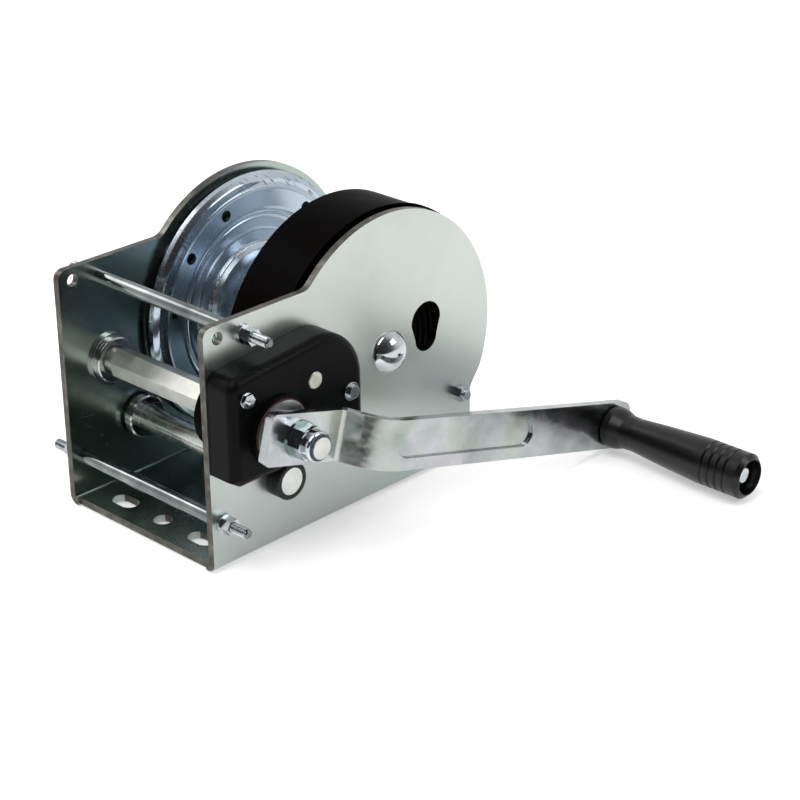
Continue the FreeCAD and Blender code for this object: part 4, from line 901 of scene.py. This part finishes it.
class WINCH_OT_rings(bpy.types.Operator):
    """Fits the nylon insert of the crank's lock nut and the spring ring on the layshaft's end"""
    bl_idname = "winch.rings"
    bl_label = "Insert and spring ring"

    def execute(self, context):
        insert = moulded("blue nylon lock insert", linear("#2F3E52"), ("#27364A", "#3A4A5E"),
                         (0.25, 0.35), 0.4, 0.03, 3, 0.2, 0.4)[0]
        nut_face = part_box("crank_nut")[1].x
        shaft_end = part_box("layshaft")[1].x
        shaft = middle("layshaft")
        chrome = bpy.data.materials["hard chrome on ground shaft"]
        # Name, body, slot, material, axis, where it starts, inner and outer radius, height.
        for name, body, slot, material, axis, x, inner, outer, height in (
                ("nut_insert", "crank", "zinc_crank", insert, CRANK_AXIS, nut_face - 0.3 * MM,
                 7.1 * MM, 8.6 * MM, 0.9 * MM),
                ("spring_ring", "layshaft", "steel_shaft", chrome, shaft, shaft_end - 1.1 * MM,
                 8.95 * MM, 9.5 * MM, 0.8 * MM)):
            piece = start_disc(outer, 96, x, axis)
            bpy.ops.mesh.inset(thickness=outer - inner, depth=0)
            bpy.ops.mesh.delete(type="FACE")
            bpy.ops.mesh.select_all(action="SELECT")
            bpy.ops.mesh.extrude_region_move(TRANSFORM_OT_translate={"value": (height, 0, 0)})
            face_outward()
            bpy.ops.object.mode_set(mode="OBJECT")
            use_modifier(piece, "BEVEL", width=0.2 * MM, segments=2, limit_method="ANGLE")
            finish_piece(piece, name, body, material)
        return {"FINISHED"}


class WINCH_OT_stage(bpy.types.Operator):
    """Sets the pale floor, the soft light and the camera"""
    bl_idname = "winch.stage"
    bl_label = "Stage"

    def execute(self, context):
        scene = context.scene
        stage = scene.winch_stage
        clear_selection()
        floor_size, floor_gap, floor_glow = 14, 0.1 * MM, 0.38
        floor_level = min(0.0, CAD_BOX[0].z) - floor_gap
        bpy.ops.mesh.primitive_plane_add(size=floor_size, location=(0, 0, floor_level))
        floor = bpy.context.object
        floor.name = "floor"
        material, tree, shader, _ = start_material("matt white studio floor")
        path = add(tree, "ShaderNodeLightPath")
        seen = add(tree, "ShaderNodeMath", {
            0: path.outputs["Is Camera Ray"], 1: path.outputs["Is Glossy Ray"]}, operation="MAXIMUM")
        shown = add(tree, "ShaderNodeMath", {
            0: seen, 1: path.outputs["Is Transmission Ray"]}, operation="MAXIMUM")
        level = add(tree, "ShaderNodeMath", {0: shown, 1: floor_glow}, operation="MULTIPLY")
        glow = add(tree, "ShaderNodeEmission", {"Color": (1, 1, 1, 1), "Strength": level})
        shader.inputs["Base Color"].default_value = linear("#F1F1F0")
        shader.inputs["Roughness"].default_value = 1.0
        shader.inputs["Specular IOR Level"].default_value = 0.0
        both = add(tree, "ShaderNodeAddShader", {0: shader, 1: glow})
        output = next(n for n in tree.nodes if n.type == "OUTPUT_MATERIAL")
        tree.links.new(both.outputs[0], output.inputs[0])
        floor.data.materials.append(material)

        world = bpy.data.worlds.new("white studio")
        scene.world = world
        world.use_nodes = True
        tree = world.node_tree
        tree.nodes.clear()
        path = add(tree, "ShaderNodeLightPath")
        toward = add(tree, "ShaderNodeTexCoord").outputs["Generated"]
        # In reflections the studio is white all round but dark on one side, towards +X and -Y,
        # which gives polished metal its dark bands.
        dark_side = Vector((0.72, -0.66, 0.22)).normalized()
        facing = add(tree, "ShaderNodeVectorMath", {0: toward, 1: dark_side}, operation="DOT_PRODUCT")
        dim = add(tree, "ShaderNodeValToRGB", {"Fac": facing.outputs["Value"]}, stops=[
            (0.0, 0.95), (0.25, 0.75), (0.55, 0.16), (0.9, 0.04)])
        even = add(tree, "ShaderNodeBackground", {"Color": (1, 1, 1, 1), "Strength": stage.room_light})
        mirrored = add(tree, "ShaderNodeBackground", {"Color": dim, "Strength": 1.0})
        white = add(tree, "ShaderNodeBackground", {"Color": (1, 1, 1, 1), "Strength": 1.0})
        glossy = add(tree, "ShaderNodeMixShader", {0: path.outputs["Is Glossy Ray"], 1: even, 2: mirrored})
        direct = add(tree, "ShaderNodeMath", {
            0: path.outputs["Is Camera Ray"], 1: path.outputs["Is Transmission Ray"]},
            operation="MAXIMUM")
        final = add(tree, "ShaderNodeMixShader", {0: direct, 1: glossy, 2: white})
        add(tree, "ShaderNodeOutputWorld", {0: final})

        aim = Vector((0.05, 0.0, 0.08))
        # Name, place, size and share of the lamp power.
        for name, place, size, share in (
                ("soft box above", (0.25, -0.9, 2.0), 1.5, 1.0),
                ("soft box left", (-1.8, -0.5, 1.3), 1.1, 0.45),
                ("soft box right", (1.7, 0.9, 1.4), 0.9, 0.40)):
            lamp = bpy.data.lights.new(name, "AREA")
            lamp.size = size
            lamp.energy = stage.lamp_power * share
            light = bpy.data.objects.new(name, lamp)
            light.location = place
            light.rotation_mode = "QUATERNION"
            light.rotation_quaternion = (aim - Vector(place)).to_track_quat("-Z", "Y")
            scene.collection.objects.link(light)

        camera = bpy.data.objects.new("camera", bpy.data.cameras.new("camera"))
        camera.data.sensor_width = 36
        camera.data.lens = stage.lens
        camera.data.clip_start, camera.data.clip_end = 0.01, 50
        across, up = stage.azimuth, stage.elevation
        back = Vector((math.sin(across) * math.cos(up), -math.cos(across) * math.cos(up), math.sin(up)))
        camera.location = stage.camera_place
        camera.rotation_mode = "QUATERNION"
        camera.rotation_quaternion = ((-back).to_track_quat("-Z", "Y")
                                      @ Quaternion((0, 0, 1), stage.roll))
        scene.collection.objects.link(camera)
        scene.camera = camera
        scene.view_settings.view_transform = "Standard"
        return {"FINISHED"}


OPERATORS = (WINCH_OT_stage, WINCH_OT_finishes, WINCH_OT_threads, WINCH_OT_welds, WINCH_OT_ribs,
             WINCH_OT_caps, WINCH_OT_lining, WINCH_OT_rings)


class WINCH_PT_sidebar(bpy.types.Panel):
    """Lists the winch's operators and sizes"""
    bl_label = "Winch"
    bl_idname = "WINCH_PT_sidebar"
    bl_space_type = "VIEW_3D"
    bl_region_type = "UI"
    bl_category = "Winch"

    def draw(self, context):
        for operator in OPERATORS:
            self.layout.operator(operator.bl_idname)
        for group in (context.scene.winch_parts, context.scene.winch_colours,
                      context.scene.winch_stage):
            box = self.layout.box()
            for name in group.bl_rna.properties.keys():
                if name not in ("rna_type", "name"):
                    box.prop(group, name)


GROUPS = {"winch_parts": WinchSmallParts, "winch_colours": WinchColours, "winch_stage": WinchStage}


def register():
    """Registers the property groups, the operators and the panel."""
    for group in GROUPS.values():
        bpy.utils.register_class(group)
    for operator in OPERATORS:
        bpy.utils.register_class(operator)
    bpy.utils.register_class(WINCH_PT_sidebar)
    for name, group in GROUPS.items():
        setattr(bpy.types.Scene, name, bpy.props.PointerProperty(type=group))


def unregister():
    """Takes back what register added."""
    for name in GROUPS:
        delattr(bpy.types.Scene, name)
    bpy.utils.unregister_class(WINCH_PT_sidebar)
    for group in (*OPERATORS, *GROUPS.values()):
        bpy.utils.unregister_class(group)


def main():
    """Builds the looks in order."""
    register()
    bpy.ops.winch.stage()
    bpy.ops.winch.finishes()
    bpy.ops.winch.threads()
    bpy.ops.winch.welds()
    bpy.ops.winch.ribs()
    bpy.ops.winch.caps()
    bpy.ops.winch.lining()
    bpy.ops.winch.rings()


if __name__ == "__main__":
    main()
